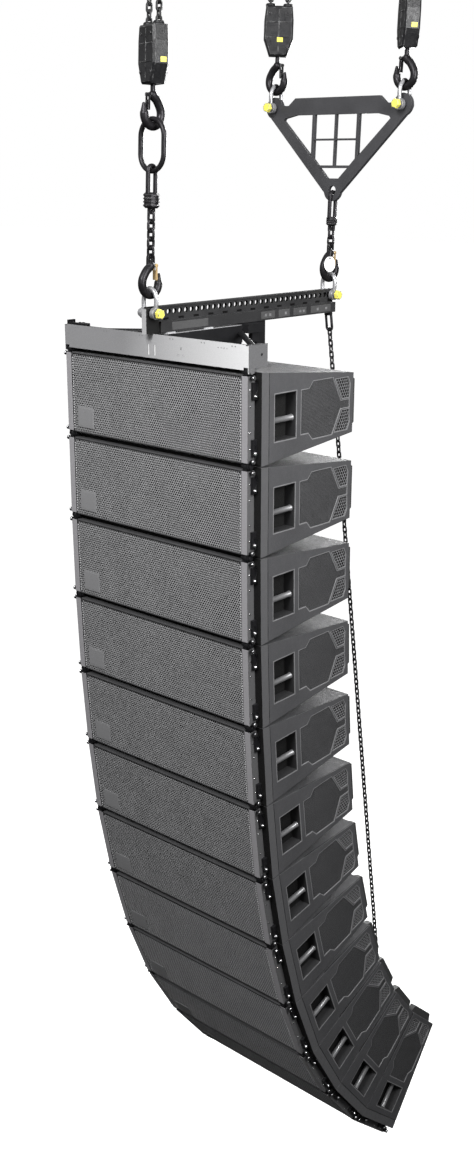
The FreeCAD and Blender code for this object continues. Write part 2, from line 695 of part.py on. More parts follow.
def hoist_block(bowl, turned, falls_top):
    """Hook block: faceted casing round the swivel shank, with two chain falls going up."""
    w, d, h = BLOCK_SIZE
    z0 = SWIVEL_RISE
    outline = [
        (-0.30 * w, z0), (0.30 * w, z0), (0.5 * w, z0 + 0.34 * h), (0.5 * w, z0 + 0.72 * h),
        (0.45 * w, z0 + h), (-0.45 * w, z0 + h), (-0.5 * w, z0 + 0.72 * h), (-0.5 * w, z0 + 0.34 * h),
    ]
    casing = prism_y(outline, -d / 2, d / 2)
    casing = casing.makeChamfer(7, [e for e in casing.Edges if abs(abs(e.CenterOfMass.y) - d / 2) < 0.1])
    casing = casing.cut([
        rod(SHANK_R + 0.4, Vector(0, 0, z0 - 1), Vector(0, 0, z0 + SHANK_IN_BLOCK + 4)),
        box(FALL_X - FALL_POCKET, FALL_X + FALL_POCKET, -FALL_POCKET, FALL_POCKET, z0 + h - 36, z0 + h + 1),
        box(-FALL_X - FALL_POCKET, FALL_POCKET - FALL_X, -FALL_POCKET, FALL_POCKET, z0 + h - 36, z0 + h + 1),
    ])
    solids = [casing]
    for x in (-FALL_X, FALL_X):
        base = z0 + h - 30
        count = int((falls_top - bowl.z - base) / (LINK_INNER - LINK_SLACK))
        solids += chain_links(count, Vector(x, 0, base + chain_height(count)))
    for solid in solids:
        solid.rotate(Vector(0, 0, 0), Z_AXIS, turned)
        solid.translate(bowl)
    return solids


def delta_plate(centre):
    """Spreader plate in the XZ plane; centre is its lower hole."""
    half = DELTA_T / 2
    z_lobe = DELTA_RISE
    outline = [
        (-38, -12), (38, -12), (356, z_lobe - 22), (330, z_lobe + 30), (270, z_lobe + 8), (246, z_lobe + 8),
        (212, z_lobe + 36), (-212, z_lobe + 36), (-246, z_lobe + 8), (-270, z_lobe + 8), (-330, z_lobe + 30),
        (-356, z_lobe - 22),
    ]
    body = fuse([
        prism_y(outline, -half, half),
        rod_y(42, -half, half, 0, 0),
        rod_y(DELTA_LOBE_R, -half, half, -DELTA_X, z_lobe),
        rod_y(DELTA_LOBE_R, -half, half, DELTA_X, z_lobe),
    ])
    holes = [rod_y(DELTA_HOLE_R, -half - 1, half + 1, 0, 0)]
    holes += [rod_y(11, -half - 1, half + 1, x, z_lobe) for x in (-DELTA_X, DELTA_X)]
    holes += [prism_y(outline, -half - 1, half + 1) for outline in delta_windows()]
    body = body.cut(holes)
    body.translate(centre)
    return body


WINDOW_TOP = 290.0
WINDOW_LOW = 96.0
WINDOW_BAR_Z = 195.0
RIB_X = 106.0
RIB_T = 12.0
BAR_T = 7.0


def delta_windows():
    """Openings of the spreader plate: a plain grid in the middle, one on each side, one below."""
    outer = [
        (RIB_X + RIB_T, WINDOW_LOW + 34),
        (268, WINDOW_TOP - 20),
        (262, WINDOW_TOP - 12),
        (204, WINDOW_TOP),
        (RIB_X + RIB_T, WINDOW_TOP),
    ]
    upper = [(BAR_T / 2, WINDOW_BAR_Z + BAR_T / 2), (RIB_X, WINDOW_BAR_Z + BAR_T / 2),
             (RIB_X, WINDOW_TOP), (BAR_T / 2, WINDOW_TOP)]
    lower = [(BAR_T / 2, WINDOW_LOW), (RIB_X - 26, WINDOW_LOW), (RIB_X, WINDOW_LOW + 26),
             (RIB_X, WINDOW_BAR_Z - BAR_T / 2), (BAR_T / 2, WINDOW_BAR_Z - BAR_T / 2)]
    windows = [[(-28, 46), (28, 46), (70, 86), (-70, 86)]]
    for half in (outer, upper, lower):
        windows += [half, [(-x, z) for x, z in half]]
    return windows


def rear_sling():
    """Shackle, hook, short chain, coupling and long link below the spreader plate."""
    bowl = rear_bowl()
    links, top, plane = sling_chain(bowl, 2)
    solids = shackle(REAR_PICK) + [hook(bowl)] + links
    low_pin = top + Z_AXIS * CLUTCH_PIN_OVER_LINK
    solids.append(clutch(low_pin, COUPLING_RISE, plane))
    top_of_link = low_pin + Z_AXIS * (COUPLING_RISE + JOINER_SEAT + COUPLING_LENGTH)
    solids.append(link(JOINER_BAR, JOINER_R, COUPLING_LENGTH, top_of_link, "YZ"))
    seat = seat_rise(JOINER_BAR, JOINER_R, DELTA_T / 2)
    plate_hole = top_of_link + Z_AXIS * (DELTA_HOLE_R - seat - SEAT_GAP)
    return solids, plate_hole


def delta_hooks(plate_hole):
    """A shackle in each lobe of the spreader plate, its pin along Y, and the hoist hook in it."""
    solids, bowls = [], []
    for x in (-DELTA_X, DELTA_X):
        pin = plate_hole + Vector(x, 0, DELTA_RISE)
        for piece in shackle(pin):
            piece.rotate(pin, Z_AXIS, -90)
            solids.append(piece)
        bowl = pin + Z_AXIS * BOWL_OVER_PIN
        solids += hoist_hook(bowl, -90.0 if x < 0 else 90.0)
        bowls.append(bowl)
    return solids, bowls


# ------------------------------------------------------------------ rear chain
CHAIN_TUBE_R = 12.0
CHAIN_START = world(1004.0, 90.0)
CHAIN_END = CABINET_AT[-1].multVec(Vector(230.0, 556.0, MIDDLE_Z))


def rear_chain():
    """Chain from the beam's rear end to the bottom cabinet, as a plain rod."""
    return [rod(CHAIN_TUBE_R, CHAIN_START, CHAIN_END)]


def build():
    parts = {
        "housing": housing(),
        "grille": grille(),
        "rigging": rigging(False),
        "drivers": drivers(),
    }
    last_rigging = rigging(True)
    for number, placement in enumerate(CABINET_AT, start=1):
        for name, solids in parts.items():
            if name == "rigging" and number == len(CABINET_AT):
                solids = last_rigging
            export("%s_%02d" % (name, number), placed(solids, placement))

    export("flying_frame", placed(flying_frame(), FRAME_AT))
    export("load_beam", placed(load_beam(), FRAME_AT))

    front, front_hoist_bowl = front_sling()
    export("front_sling", front)
    export("front_sling_latch", [latch(front_bowl())])
    export("front_hoist_block", hoist_block(front_hoist_bowl, -16.0, FALLS_TOP_Z))

    rear, plate_hole = rear_sling()
    export("rear_sling", rear)
    export("rear_sling_latch", [latch(rear_bowl())])
    export("delta_plate", [delta_plate(plate_hole)])
    hooks, bowls = delta_hooks(plate_hole)
    export("delta_hooks", hooks)
    export("rear_hoist_block_left", hoist_block(bowls[0], 42.0, REAR_FALLS_TOP_Z))
    export("rear_hoist_block_right", hoist_block(bowls[1], -40.0, REAR_FALLS_TOP_Z))
    export("rear_chain", rear_chain())


build()
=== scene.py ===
"""Studio scene of the line array loudspeaker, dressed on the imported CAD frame.

Constants are millimetres unless they say otherwise, and MM turns them into Blender's metres.
X runs across the speaker, Y rearward and Z up.
"""
import json
import math

import bmesh
import bpy
from mathutils import Matrix, Vector


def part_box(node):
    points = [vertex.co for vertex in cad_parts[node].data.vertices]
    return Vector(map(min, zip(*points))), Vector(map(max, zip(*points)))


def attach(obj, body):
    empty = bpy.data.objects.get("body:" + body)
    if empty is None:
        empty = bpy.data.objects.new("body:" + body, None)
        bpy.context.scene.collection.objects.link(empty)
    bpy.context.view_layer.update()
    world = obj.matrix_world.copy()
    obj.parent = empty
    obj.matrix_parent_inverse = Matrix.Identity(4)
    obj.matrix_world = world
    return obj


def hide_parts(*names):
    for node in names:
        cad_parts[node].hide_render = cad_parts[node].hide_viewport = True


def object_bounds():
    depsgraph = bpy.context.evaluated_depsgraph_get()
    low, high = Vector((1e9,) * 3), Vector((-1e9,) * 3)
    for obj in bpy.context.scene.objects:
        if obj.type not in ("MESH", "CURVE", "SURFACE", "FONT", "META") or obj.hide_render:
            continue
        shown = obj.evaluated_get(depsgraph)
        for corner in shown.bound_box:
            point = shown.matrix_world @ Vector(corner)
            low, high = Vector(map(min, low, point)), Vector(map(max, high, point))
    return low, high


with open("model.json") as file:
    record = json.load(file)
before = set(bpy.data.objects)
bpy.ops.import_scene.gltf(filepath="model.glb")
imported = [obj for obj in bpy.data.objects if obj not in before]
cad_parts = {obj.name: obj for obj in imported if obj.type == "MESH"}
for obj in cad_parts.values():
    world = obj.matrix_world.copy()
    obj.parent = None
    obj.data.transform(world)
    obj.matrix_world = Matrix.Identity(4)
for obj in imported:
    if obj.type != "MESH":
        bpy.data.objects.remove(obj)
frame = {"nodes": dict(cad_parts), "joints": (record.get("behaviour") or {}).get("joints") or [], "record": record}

CAD_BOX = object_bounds()
MM = 0.001

# ------------------------------------------------------------------ where the cabinets are
JOINTS = {joint["name"]: joint for joint in frame["joints"]}
MOUNTS = {mount["name"]: Vector(mount["pos_m"]) for mount in frame["record"]["mounts"]}
COUNT = sum(name.startswith("housing_") for name in frame["nodes"])
FRONT_PICK = MOUNTS["front_pick_point"] / MM
REAR_PICK = MOUNTS["rear_pick_point"] / MM


def frame_matrix(origin, angle):
    return Matrix.Translation(origin) @ Matrix.Rotation(angle, 4, "X")


def cabinet_matrices():
    """Each cabinet's own frame, the tilt of the flying frame, and the distance between hinges.

    A cabinet's frame stands on its front hinge axis at mid-width, with Z along the cabinet's front.
    """
    picks = REAR_PICK - FRONT_PICK
    tilt = math.atan2(picks.z, picks.y)
    hinges = [Vector(JOINTS["splay_%02d" % k]["pos_m"]) for k in range(2, COUNT + 1)]
    last = MOUNTS["lower_hinge_right_outer"]
    hinges.append(Vector((0, last.y, last.z)))
    pitch = (hinges[1] - hinges[0]).length
    up = Matrix.Rotation(tilt, 3, "X") @ Vector((0, 0, pitch))
    origins = [hinges[0] + up] + hinges[:-1]
    found = []
    for origin, hinge in zip(origins, hinges):
        down = hinge - origin
        found.append(frame_matrix(origin, math.atan2(down.y, -down.z)))
    return found, tilt, pitch / MM


CABINETS, TILT, PITCH = cabinet_matrices()
FLYING_FRAME = frame_matrix(CABINETS[0].translation, TILT)


def body_name(number):
    return "array_frame" if number == 1 else "cabinet_%02d" % number


# ------------------------------------------------------------------ shader building
class Shader:
    """A Principled material with short calls for its nodes."""

    def __init__(self, name):
        self.material = bpy.data.materials.new(name)
        self.material.use_nodes = True
        self.tree = self.material.node_tree
        self.bsdf = self.tree.nodes["Principled BSDF"]

    def node(self, kind, **values):
        made = self.tree.nodes.new("ShaderNode" + kind)
        for key, value in values.items():
            setattr(made, key, value)
        return made

    def link(self, output, target):
        self.tree.links.new(output, target)

    def fill(self, sockets, values):
        """Give each socket a number, a colour or a link."""
        for socket, value in zip(sockets, values):
            if isinstance(value, float):
                socket.default_value = value
            elif isinstance(value, tuple):
                socket.default_value = (*value, 1.0)
            else:
                self.link(value, socket)

    def noise(self, vector, scale, detail=3.0):
        made = self.node("TexNoise")
        sockets = [made.inputs[key] for key in ("Vector", "Scale", "Detail")]
        self.fill(sockets, (vector, scale, detail))
        return made.outputs["Fac"]

    def spread(self, value, low, high, to_low=0.0, to_high=1.0):
        """The value mapped from one range to another and kept inside it."""
        made = self.node("MapRange")
        self.fill(made.inputs[:5], (value, low, high, to_low, to_high))
        return made.outputs[0]

    def math(self, operation, a, b=0.0):
        made = self.node("Math", operation=operation)
        self.fill(made.inputs, (a, b))
        return made.outputs[0]

    def mix(self, factor, a, b, blend="MIX"):
        """Two colours mixed, through the Mix node's factor and its two colour sockets."""
        made = self.node("Mix", data_type="RGBA", blend_type=blend)
        self.fill((made.inputs[0], made.inputs[6], made.inputs[7]), (factor, a, b))
        return made.outputs[2]

    def local_point(self, matrix):
        """Object coordinates, turned into the matrix's frame where one is given."""
        point = self.node("TexCoord").outputs["Object"]
        if matrix is None:
            return point
        inverse = matrix.inverted()
        mapping = self.node("Mapping", vector_type="POINT")
        mapping.inputs["Location"].default_value = inverse.translation
        mapping.inputs["Rotation"].default_value = inverse.to_euler()
        self.link(point, mapping.inputs["Vector"])
        return mapping.outputs["Vector"]


def grey(level):
    return (level, level, level)


def zone(color, wide=None, y=None, z=None):
    """A tone for what lies between pairs of limits, None where open; wide is measured from mid-width."""
    tests = []
    for axis, limits in (("X", wide), ("Y", y), ("Z", z)):
        for operation, limit in zip(("GREATER_THAN", "LESS_THAN"), limits or ()):
            if limit is not None:
                tests.append((axis, operation, limit))
    return tests, color


def zoned(s, point, tone, zones, painted_reflection):
    """The tone with each zone's colour over it, and a painted reflection: a face that turns brighter across its
    width.
    """
    parts = s.node("SeparateXYZ")
    s.link(point, parts.inputs[0])
    along = {"X": s.math("ABSOLUTE", parts.outputs["X"]), "Y": parts.outputs["Y"], "Z": parts.outputs["Z"]}
    for tests, color in zones:
        within = 1.0
        for axis, operation, limit in tests:
            within = s.math("MULTIPLY", s.math(operation, along[axis], limit * MM), within)
        tone = s.mix(within, tone, color)
    # painted reflection: the front face lightened across its width towards the given colour
    if painted_reflection:
        front_y, start_x, end_x, strength, color = painted_reflection
        face = s.math("LESS_THAN", parts.outputs["Y"], front_y * MM)
        across = s.spread(parts.outputs["X"], start_x * MM, end_x * MM, 0.0, strength)
        tone = s.mix(s.math("MULTIPLY", face, across), tone, color)
    return tone


CLOUD_SCALE = 7.0
SCUFF_SCALE = 55.0
SPECK_SHADE = 0.35
ROUGH_SWING = 0.09
FLAT_DOT, EDGE_DOT = 0.995, 0.86


def surface(name, color, rough, metallic=0.0, vary=0.18, grain=700.0, relief=0.25, depth=0.0004,
            worn=None, wear=0.5, edge=1.2, matrix=None, zones=(), gloss=0.2, painted_reflection=None):
    """Painted or bare surface: cloudy tone, fine grain, worn edges, zones of another tone by place, and where
    given a painted reflection that brightens one face across its width.
    """
    s = Shader(name)
    point = s.local_point(matrix)
    cloud = s.noise(point, CLOUD_SCALE, 4.0)
    speck = s.noise(point, grain, 2.0)
    scuff = s.noise(point, SCUFF_SCALE, 6.0)
    darker = tuple(c * (1 - vary) for c in color)
    lighter = tuple(min(c * (1 + vary), 1.0) for c in color)
    tone = s.mix(s.spread(cloud, 0.3, 0.7), darker, lighter)
    if zones:
        tone = zoned(s, point, tone, zones, painted_reflection)
    tone = s.mix(s.spread(speck, 0.35, 0.65, 0.0, SPECK_SHADE), tone, grey(0.0), "SOFT_LIGHT")

    bevel = s.node("Bevel", samples=4)
    bevel.inputs["Radius"].default_value = edge * MM
    facing = s.node("VectorMath", operation="DOT_PRODUCT")
    s.fill(facing.inputs, (bevel.outputs[0], s.node("NewGeometry").outputs["Normal"]))
    rim = s.spread(facing.outputs["Value"], FLAT_DOT, EDGE_DOT)
    rubbed = s.math("MULTIPLY", rim, s.spread(scuff, 0.42, 0.62, 0.0, wear))
    worn = worn or tuple(min(c * 2.2 + 0.03, 1.0) for c in color)
    s.link(s.mix(rubbed, tone, worn), s.bsdf.inputs["Base Color"])

    smooth, coarse = max(rough - ROUGH_SWING, 0.04), min(rough + ROUGH_SWING, 1.0)
    s.link(s.spread(scuff, 0.3, 0.7, smooth, coarse), s.bsdf.inputs["Roughness"])
    s.bsdf.inputs["Metallic"].default_value = metallic
    s.bsdf.inputs["Specular IOR Level"].default_value = gloss
    bump = s.node("Bump")
    bump.inputs["Strength"].default_value = relief
    bump.inputs["Distance"].default_value = depth
    s.link(speck, bump.inputs["Height"])
    s.link(bevel.outputs[0], bump.inputs["Normal"])
    s.link(bump.outputs[0], s.bsdf.inputs["Normal"])
    return s.material


# ------------------------------------------------------------------ zones of the tackle
SILVER = (0.34, 0.34, 0.35)
LOBE_X = 322.0
LOBE_Z = 772.93
LOBE_REACH = 60.0
SHACKLE_TOP = 97.0
SHACKLE_FOOT = 24.0
SHACKLE_ARM = 15.6
CROWN_FOOT = 74.0
CROWN_HALF = 9.0


def shackle_zones(pick):
    """The bow above a pick: its two arms, and its crown inside the hook."""
    top = pick.z + SHACKLE_TOP
    return [
        zone(SILVER, wide=(SHACKLE_ARM, None), z=(pick.z - SHACKLE_FOOT, top)),
        zone(SILVER, wide=(None, SHACKLE_ARM + 0.1), z=(pick.z + CROWN_FOOT, top),
             y=(pick.y - CROWN_HALF, pick.y + CROWN_HALF)),
    ]


def lobe_zones():
    """The arms of the two bows in the spreader plate's lobes, in front of the plate and behind it."""
    top = LOBE_Z + SHACKLE_TOP
    return [
        zone(SILVER, y=(None, REAR_PICK.y - SHACKLE_ARM), z=(None, top)),
        zone(SILVER, y=(REAR_PICK.y + SHACKLE_ARM, REAR_PICK.y + LOBE_REACH), z=(None, top)),
    ]


# ------------------------------------------------------------------ zones of the beam and the flying frame
NOSE_FACE_Y = -49.5
NOSE_Y = (-49.0, 14.0)
HOLE_ROW_Y = 16.0
HOLE_ROW_Z = (140.0, 181.0)
WEB_HALF = 5.8
BEAM_ZONES = [
    zone((0.34, 0.34, 0.345), y=(None, NOSE_FACE_Y)),
    # painted shade: the bores of the web's row of holes made near black
    zone(grey(0.002), wide=(None, WEB_HALF), y=(HOLE_ROW_Y, None), z=HOLE_ROW_Z),
    zone(grey(0.012), y=NOSE_Y),
]
FRONT_FACE_Y = -15.9
END_FACE_X = 470.5
SPINE_HALF = 30.5
SPINE_Y = (28.0, 441.0)
SPINE_TOP_Z = 87.6
FRAME_ZONES = [
    zone((0.22, 0.22, 0.225), y=(None, FRONT_FACE_Y)),
    zone((0.11, 0.11, 0.113), wide=(END_FACE_X, None)),
    # painted highlight: the spine's top face made light grey where light glints on it
    zone((0.4, 0.4, 0.41), wide=(None, SPINE_HALF), y=SPINE_Y, z=(SPINE_TOP_Z, None)),
]
# painted reflection on the front plate: its face, where across it the painted sheen starts and ends, how strong it
# gets, and its colour
FRAME_PAINTED_REFLECTION = (FRONT_FACE_Y, -150.0, 459.0, 0.85, (0.62, 0.62, 0.625))


# ------------------------------------------------------------------ materials
BLACK = (0.009, 0.009, 0.010)
FORGED = (0.022, 0.021, 0.023)
CABINET = (0.062, 0.062, 0.065)


def forged(name, rough, zones=()):
    """Black forged steel, rubbed along its edges."""
    return surface(name, FORGED, rough, metallic=0.6, vary=0.3, grain=260.0, relief=0.5,
                   worn=grey(0.22), wear=0.9, edge=2.0, zones=zones)


MATERIALS = {
    "grille": surface("grille_coat", (0.225, 0.225, 0.229), 0.42, vary=0.06, relief=0.1),
    "foam": surface("grille_foam", grey(0.004), 0.95, grain=300.0, relief=0.8, depth=0.001, gloss=0.1),
    "badge": surface("badge_plate", (0.25, 0.25, 0.255), 0.36, metallic=0.2, vary=0.05),
    "edging": surface("grille_edging", (0.50, 0.50, 0.505), 0.4, vary=0.1),
    "mesh": surface("side_mesh", (0.058, 0.058, 0.060), 0.55, vary=0.06),
    "vent": surface("vent_mesh", (0.13, 0.13, 0.134), 0.5, vary=0.08),
    "trim": surface("side_trim", (0.17, 0.17, 0.174), 0.45, vary=0.1),
    "liner": surface("recess_liner", (0.028, 0.028, 0.029), 0.55, vary=0.1),
    "bar": surface("handle_bar", (0.22, 0.22, 0.225), 0.38, metallic=0.5, vary=0.1, relief=0.05, wear=0.0),
    "steel": surface("bright_steel", (0.6, 0.6, 0.61), 0.24, metallic=1.0, vary=0.12, relief=0.1),
    "black": surface("black_steel", BLACK, 0.36, metallic=0.2, worn=grey(0.12), wear=0.8, gloss=0.15),
    "forged": forged("forged_steel", 0.4),
    "front_sling": forged("front_sling_steel", 0.38, shackle_zones(FRONT_PICK)),
    "rear_sling": forged("rear_sling_steel", 0.38, shackle_zones(REAR_PICK)),
    "lobes": forged("lobe_steel", 0.38, lobe_zones()),
    "yellow": surface("yellow_pin", (0.70, 0.64, 0.12), 0.42, vary=0.1, wear=0.5, worn=(0.5, 0.48, 0.3)),
    "tan": surface("zinc_latch", (0.58, 0.42, 0.22), 0.38, metallic=0.5, vary=0.12),
    "tag": surface("blank_tag", grey(0.72), 0.5, vary=0.04, relief=0.1),
    "label": surface("blank_label", (0.07, 0.07, 0.071), 0.45, vary=0.08, relief=0.1),
    "plate": surface("plate_coat", (0.045, 0.045, 0.048), 0.42, vary=0.2, worn=grey(0.15)),
    "hoist": surface("hoist_coat", (0.010, 0.010, 0.011), 0.36, vary=0.5, gloss=0.25, grain=220.0,
                     relief=0.7, depth=0.001, worn=grey(0.34), wear=0.9, edge=3.0),
    # the beam's coat, with painted shade in the bores of the web's holes
    "beam": surface("beam_coat_and_painted_shade", (0.03, 0.03, 0.031), 0.4, vary=0.2, worn=grey(0.16),
                    matrix=FLYING_FRAME, gloss=0.15, zones=BEAM_ZONES),
    # the frame's coat, with a painted highlight on the spine's top and a painted reflection across the front plate
    "frame": surface("frame_coat_and_painted_light", (0.012, 0.012, 0.013), 0.42, vary=0.15, gloss=0.15,
                     matrix=FLYING_FRAME, zones=FRAME_ZONES, painted_reflection=FRAME_PAINTED_REFLECTION),
}


def paint_node(name, material):
    mesh = frame["nodes"][name].data
    if not mesh.materials:
        mesh.materials.append(material)
    for index in range(len(mesh.materials)):
        mesh.materials[index] = material


# ------------------------------------------------------------------ mesh building
class Build:
    """A bmesh filled in millimetres, each part with a material index."""

    def __init__(self):
        self.bm = bmesh.new()
        self.slot = 0

    def mark(self, faces):
        for face in faces:
            face.material_index = self.slot

    def box(self, x0, x1, y0, y1, z0, z1, bevel):
        size = Vector((x1 - x0, y1 - y0, z1 - z0))
        middle = Vector((x1 + x0, y1 + y0, z1 + z0)) / 2
        placed = Matrix.Translation(middle) @ Matrix.Diagonal((*size, 1))
        corners = bmesh.ops.create_cube(self.bm, matrix=placed)["verts"]
        edges = list(dict.fromkeys(e for v in corners for e in v.link_edges))
        self.mark({f for e in edges for f in e.link_faces})
        if bevel:
            made = bmesh.ops.bevel(self.bm, geom=edges, offset=bevel, segments=2, profile=0.5,
                                   affect="EDGES")
            self.mark(made["faces"])

    def ring(self, centre, side, other, radius, steps):
        """Corners round a centre, in the plane of side and other."""
        corners = []
        for k in range(steps):
            turn = 2 * math.pi * k / steps
            corner = centre + (side * math.cos(turn) + other * math.sin(turn)) * radius
            corners.append(self.bm.verts.new(corner))
        return corners

    def walls(self, rings):
        """Faces between each ring of corners and the next."""
        faces = []
        for a, b in zip(rings, rings[1:]):
            for k in range(len(a)):
                j = (k + 1) % len(a)
                faces.append(self.bm.faces.new((a[k], a[j], b[j], b[k])))
        return faces

    def caps(self, rings):
        return [self.bm.faces.new(rings[0][::-1]), self.bm.faces.new(rings[-1])]

    def lathe(self, start, axis, profile, steps):
        """Turned piece: (distance along axis, radius) pairs round a line from start."""
        axis = Vector(axis).normalized()
        side = axis.orthogonal().normalized()
        other = axis.cross(side)
        rings = [self.ring(Vector(start) + axis * along, side, other, radius, steps)
                 for along, radius in profile]
        walls = self.walls(rings)
        for face in walls:
            face.smooth = steps > 8
        self.mark(walls + self.caps(rings))

    def ball(self, centre, radius, steps=12):
        turns = [math.pi * k / steps for k in range(1, steps)]
        profile = [(-radius * math.cos(turn), radius * math.sin(turn)) for turn in turns]
        self.lathe(centre, (1, 0, 0), profile, 16)

    def tube(self, points, radius, steps, closed=False):
        """Round bar along points, its section carried along without twist."""
        points = [Vector(p) for p in points]
        count = len(points)
        side = None
        rings = []
        for k, point in enumerate(points):
            after = points[(k + 1) % count] if closed or k < count - 1 else point
            before = points[k - 1] if closed or k > 0 else point
            along = (after - before).normalized()
            side = along.orthogonal() if side is None else side - along * side.dot(along)
            side.normalize()
            rings.append(self.ring(point, side, along.cross(side), radius, steps))
        faces = self.walls(rings + rings[:1]) if closed else self.walls(rings) + self.caps(rings)
        for face in faces:
            face.smooth = True
        self.mark(faces)

    def band(self, outline, inset, top, floor, place):
        """Raised strip just inside a closed outline: flat top and a wall down to the floor."""
        inner = inset_outline(outline, inset)
        rows = [[self.bm.verts.new(place(u, v, level)) for u, v in line]
                for line, level in ((outline, top), (inner, top), (inner, floor))]
        self.mark(self.walls(rows))

    def mesh(self, name, materials):
        bmesh.ops.recalc_face_normals(self.bm, faces=self.bm.faces)
        bmesh.ops.scale(self.bm, vec=(MM, MM, MM), verts=self.bm.verts)
        mesh = bpy.data.meshes.new(name)
        self.bm.to_mesh(mesh)
        self.bm.free()
        for key in materials:
            mesh.materials.append(MATERIALS[key])
        return mesh


def inset_outline(outline, inset):
    """The outline moved inwards by a set width, corner by corner."""
    count = len(outline)
    area = sum(outline[k][0] * outline[(k + 1) % count][1] - outline[(k + 1) % count][0] * outline[k][1]
               for k in range(count))
    sign = 1.0 if area > 0 else -1.0
    moved = []
    for k in range(count):
        before, here, after = (Vector(outline[(k + d) % count]) for d in (-1, 0, 1))
        a = (here - before).normalized()
        b = (after - here).normalized()
        normal_a = Vector((-a.y, a.x)) * sign
        normal_b = Vector((-b.y, b.x)) * sign
        half = (normal_a + normal_b).normalized()
        moved.append(tuple(here + half * inset / max(half.dot(normal_a), 0.3)))
    return moved


def holds_point(outline, u, v):
    held = False
    count = len(outline)
    for k in range(count):
        (u0, v0), (u1, v1) = outline[k], outline[(k + 1) % count]
        if (v0 > v) != (v1 > v) and u < u0 + (v - v0) * (u1 - u0) / (v1 - v0):
            held = not held
    return held


def perforated(name, outline, pitch, hole, dip, place, material):
    """Sheet of hexagonal cells with a hole in each; the holes' rims are pressed in by dip."""
    us, vs = [u for u, _ in outline], [v for _, v in outline]
    row_step = pitch * math.sqrt(3) / 2
    corner = pitch / math.sqrt(3)
    corners = [(math.cos(math.radians(60 * k + 30)), math.sin(math.radians(60 * k + 30))) for k in range(6)]
    verts, faces = [], []
    for row in range(int((max(vs) - min(vs)) / row_step) + 1):
        v = min(vs) + row_step * (row + 0.5)
        for column in range(int((max(us) - min(us)) / pitch) + 1):
            u = min(us) + pitch * (column + 0.5 + 0.5 * (row % 2))
            if not holds_point(outline, u, v):
                continue
            base = len(verts)
            verts += [place(u + corner * c, v + corner * s, 0.0) * MM for c, s in corners]
            verts += [place(u + hole * c, v + hole * s, dip) * MM for c, s in corners]
            for k in range(6):
                j = (k + 1) % 6
                faces.append((base + k, base + j, base + 6 + j, base + 6 + k))
    mesh = bpy.data.meshes.new(name)
    mesh.from_pydata(verts, [], faces)
    mesh.materials.append(MATERIALS[material])
    return mesh


def join(meshes, name):
    """One mesh made of several with the same material."""
    bm = bmesh.new()
    for mesh in meshes:
        bm.from_mesh(mesh)
    bmesh.ops.recalc_face_normals(bm, faces=bm.faces)
    joined = bpy.data.meshes.new(name)
    bm.to_mesh(joined)
    bm.free()
    joined.materials.append(meshes[0].materials[0])
    for mesh in meshes:
        bpy.data.meshes.remove(mesh)
    return joined


def piece(name, mesh, body, matrix=Matrix.Identity(4), replaces=()):
    made = bpy.data.objects.new(name, mesh)
    bpy.context.scene.collection.objects.link(made)
    made.matrix_world = matrix
    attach(made, body)
    if replaces:
        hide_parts(*replaces)
    return made


# ------------------------------------------------------------------ front grille, in the cabinet's frame
GRILLE_X = 438.0
GRILLE_Z = (-319.0, -11.0)
GRILLE_FRONT = -14.0
GRILLE_DEPTH = 26.0
GRILLE_RIM = 5.0
GRILLE_PITCH = 10.0
GRILLE_HOLE = 3.5
GRILLE_DIP = 1.2
SHEET_SUNK = 0.3
FOAM_INSET = 7.0
FOAM_Y = (2.6, 9.0)
DASH_HALF = 2.2
DASH_LENGTH = 5.4
DASH_IN = 4.0
DASH_FOOT = 12.0
DASH_TOP = 8.0
BADGE_X = (-412.0, -322.0)
BADGE_RISE = (22.0, 104.0)
BADGE_BORDER = 7.0


def front_place(u, v, w):
    """A point of the grille from its place across and up, w behind the sheet."""
    return Vector((u, GRILLE_FRONT + SHEET_SUNK + w, v))


def grille_sheet():
    z0, z1 = GRILLE_Z
    x = GRILLE_X - GRILLE_RIM
    low, high = z0 + GRILLE_RIM, z1 - GRILLE_RIM
    outline = [(-x, low), (x, low), (x, high), (-x, high)]
    return perforated("grille_sheet", outline, GRILLE_PITCH, GRILLE_HOLE, GRILLE_DIP, front_place, "grille")


def grille_rim():
    """Border of the grille tray, and the row of light dashes down each side edge."""
    z0, z1 = GRILLE_Z
    bar = GRILLE_RIM + 1
    b = Build()
    for x0, x1, low, high in ((-GRILLE_X, bar - GRILLE_X, z0, z1), (GRILLE_X - bar, GRILLE_X, z0, z1),
                              (2 - GRILLE_X, GRILLE_X - 2, z0, z0 + bar),
                              (2 - GRILLE_X, GRILLE_X - 2, z1 - bar, z1)):
        b.box(x0, x1, GRILLE_FRONT, GRILLE_FRONT + GRILLE_DEPTH, low, high, 1.2)
    b.slot = 1
    for side in (-1, 1):
        x = side * (GRILLE_X - DASH_IN)
        for k in range(int((z1 - z0 - DASH_FOOT - DASH_TOP) / GRILLE_PITCH)):
            z = z0 + DASH_FOOT + GRILLE_PITCH * k
            b.box(x - DASH_HALF, x + DASH_HALF, GRILLE_FRONT - 0.5, GRILLE_FRONT + 0.4,
                  z, z + DASH_LENGTH, 0.3)
    return b.mesh("grille_rim", ["mesh", "edging"])


def grille_foam():
    z0, z1 = GRILLE_Z
    x = GRILLE_X - FOAM_INSET
    near, far = (GRILLE_FRONT + y for y in FOAM_Y)
    b = Build()
    b.box(-x, x, near, far, z0 + FOAM_INSET, z1 - FOAM_INSET, 1.0)
    return b.mesh("grille_foam", ["foam"])


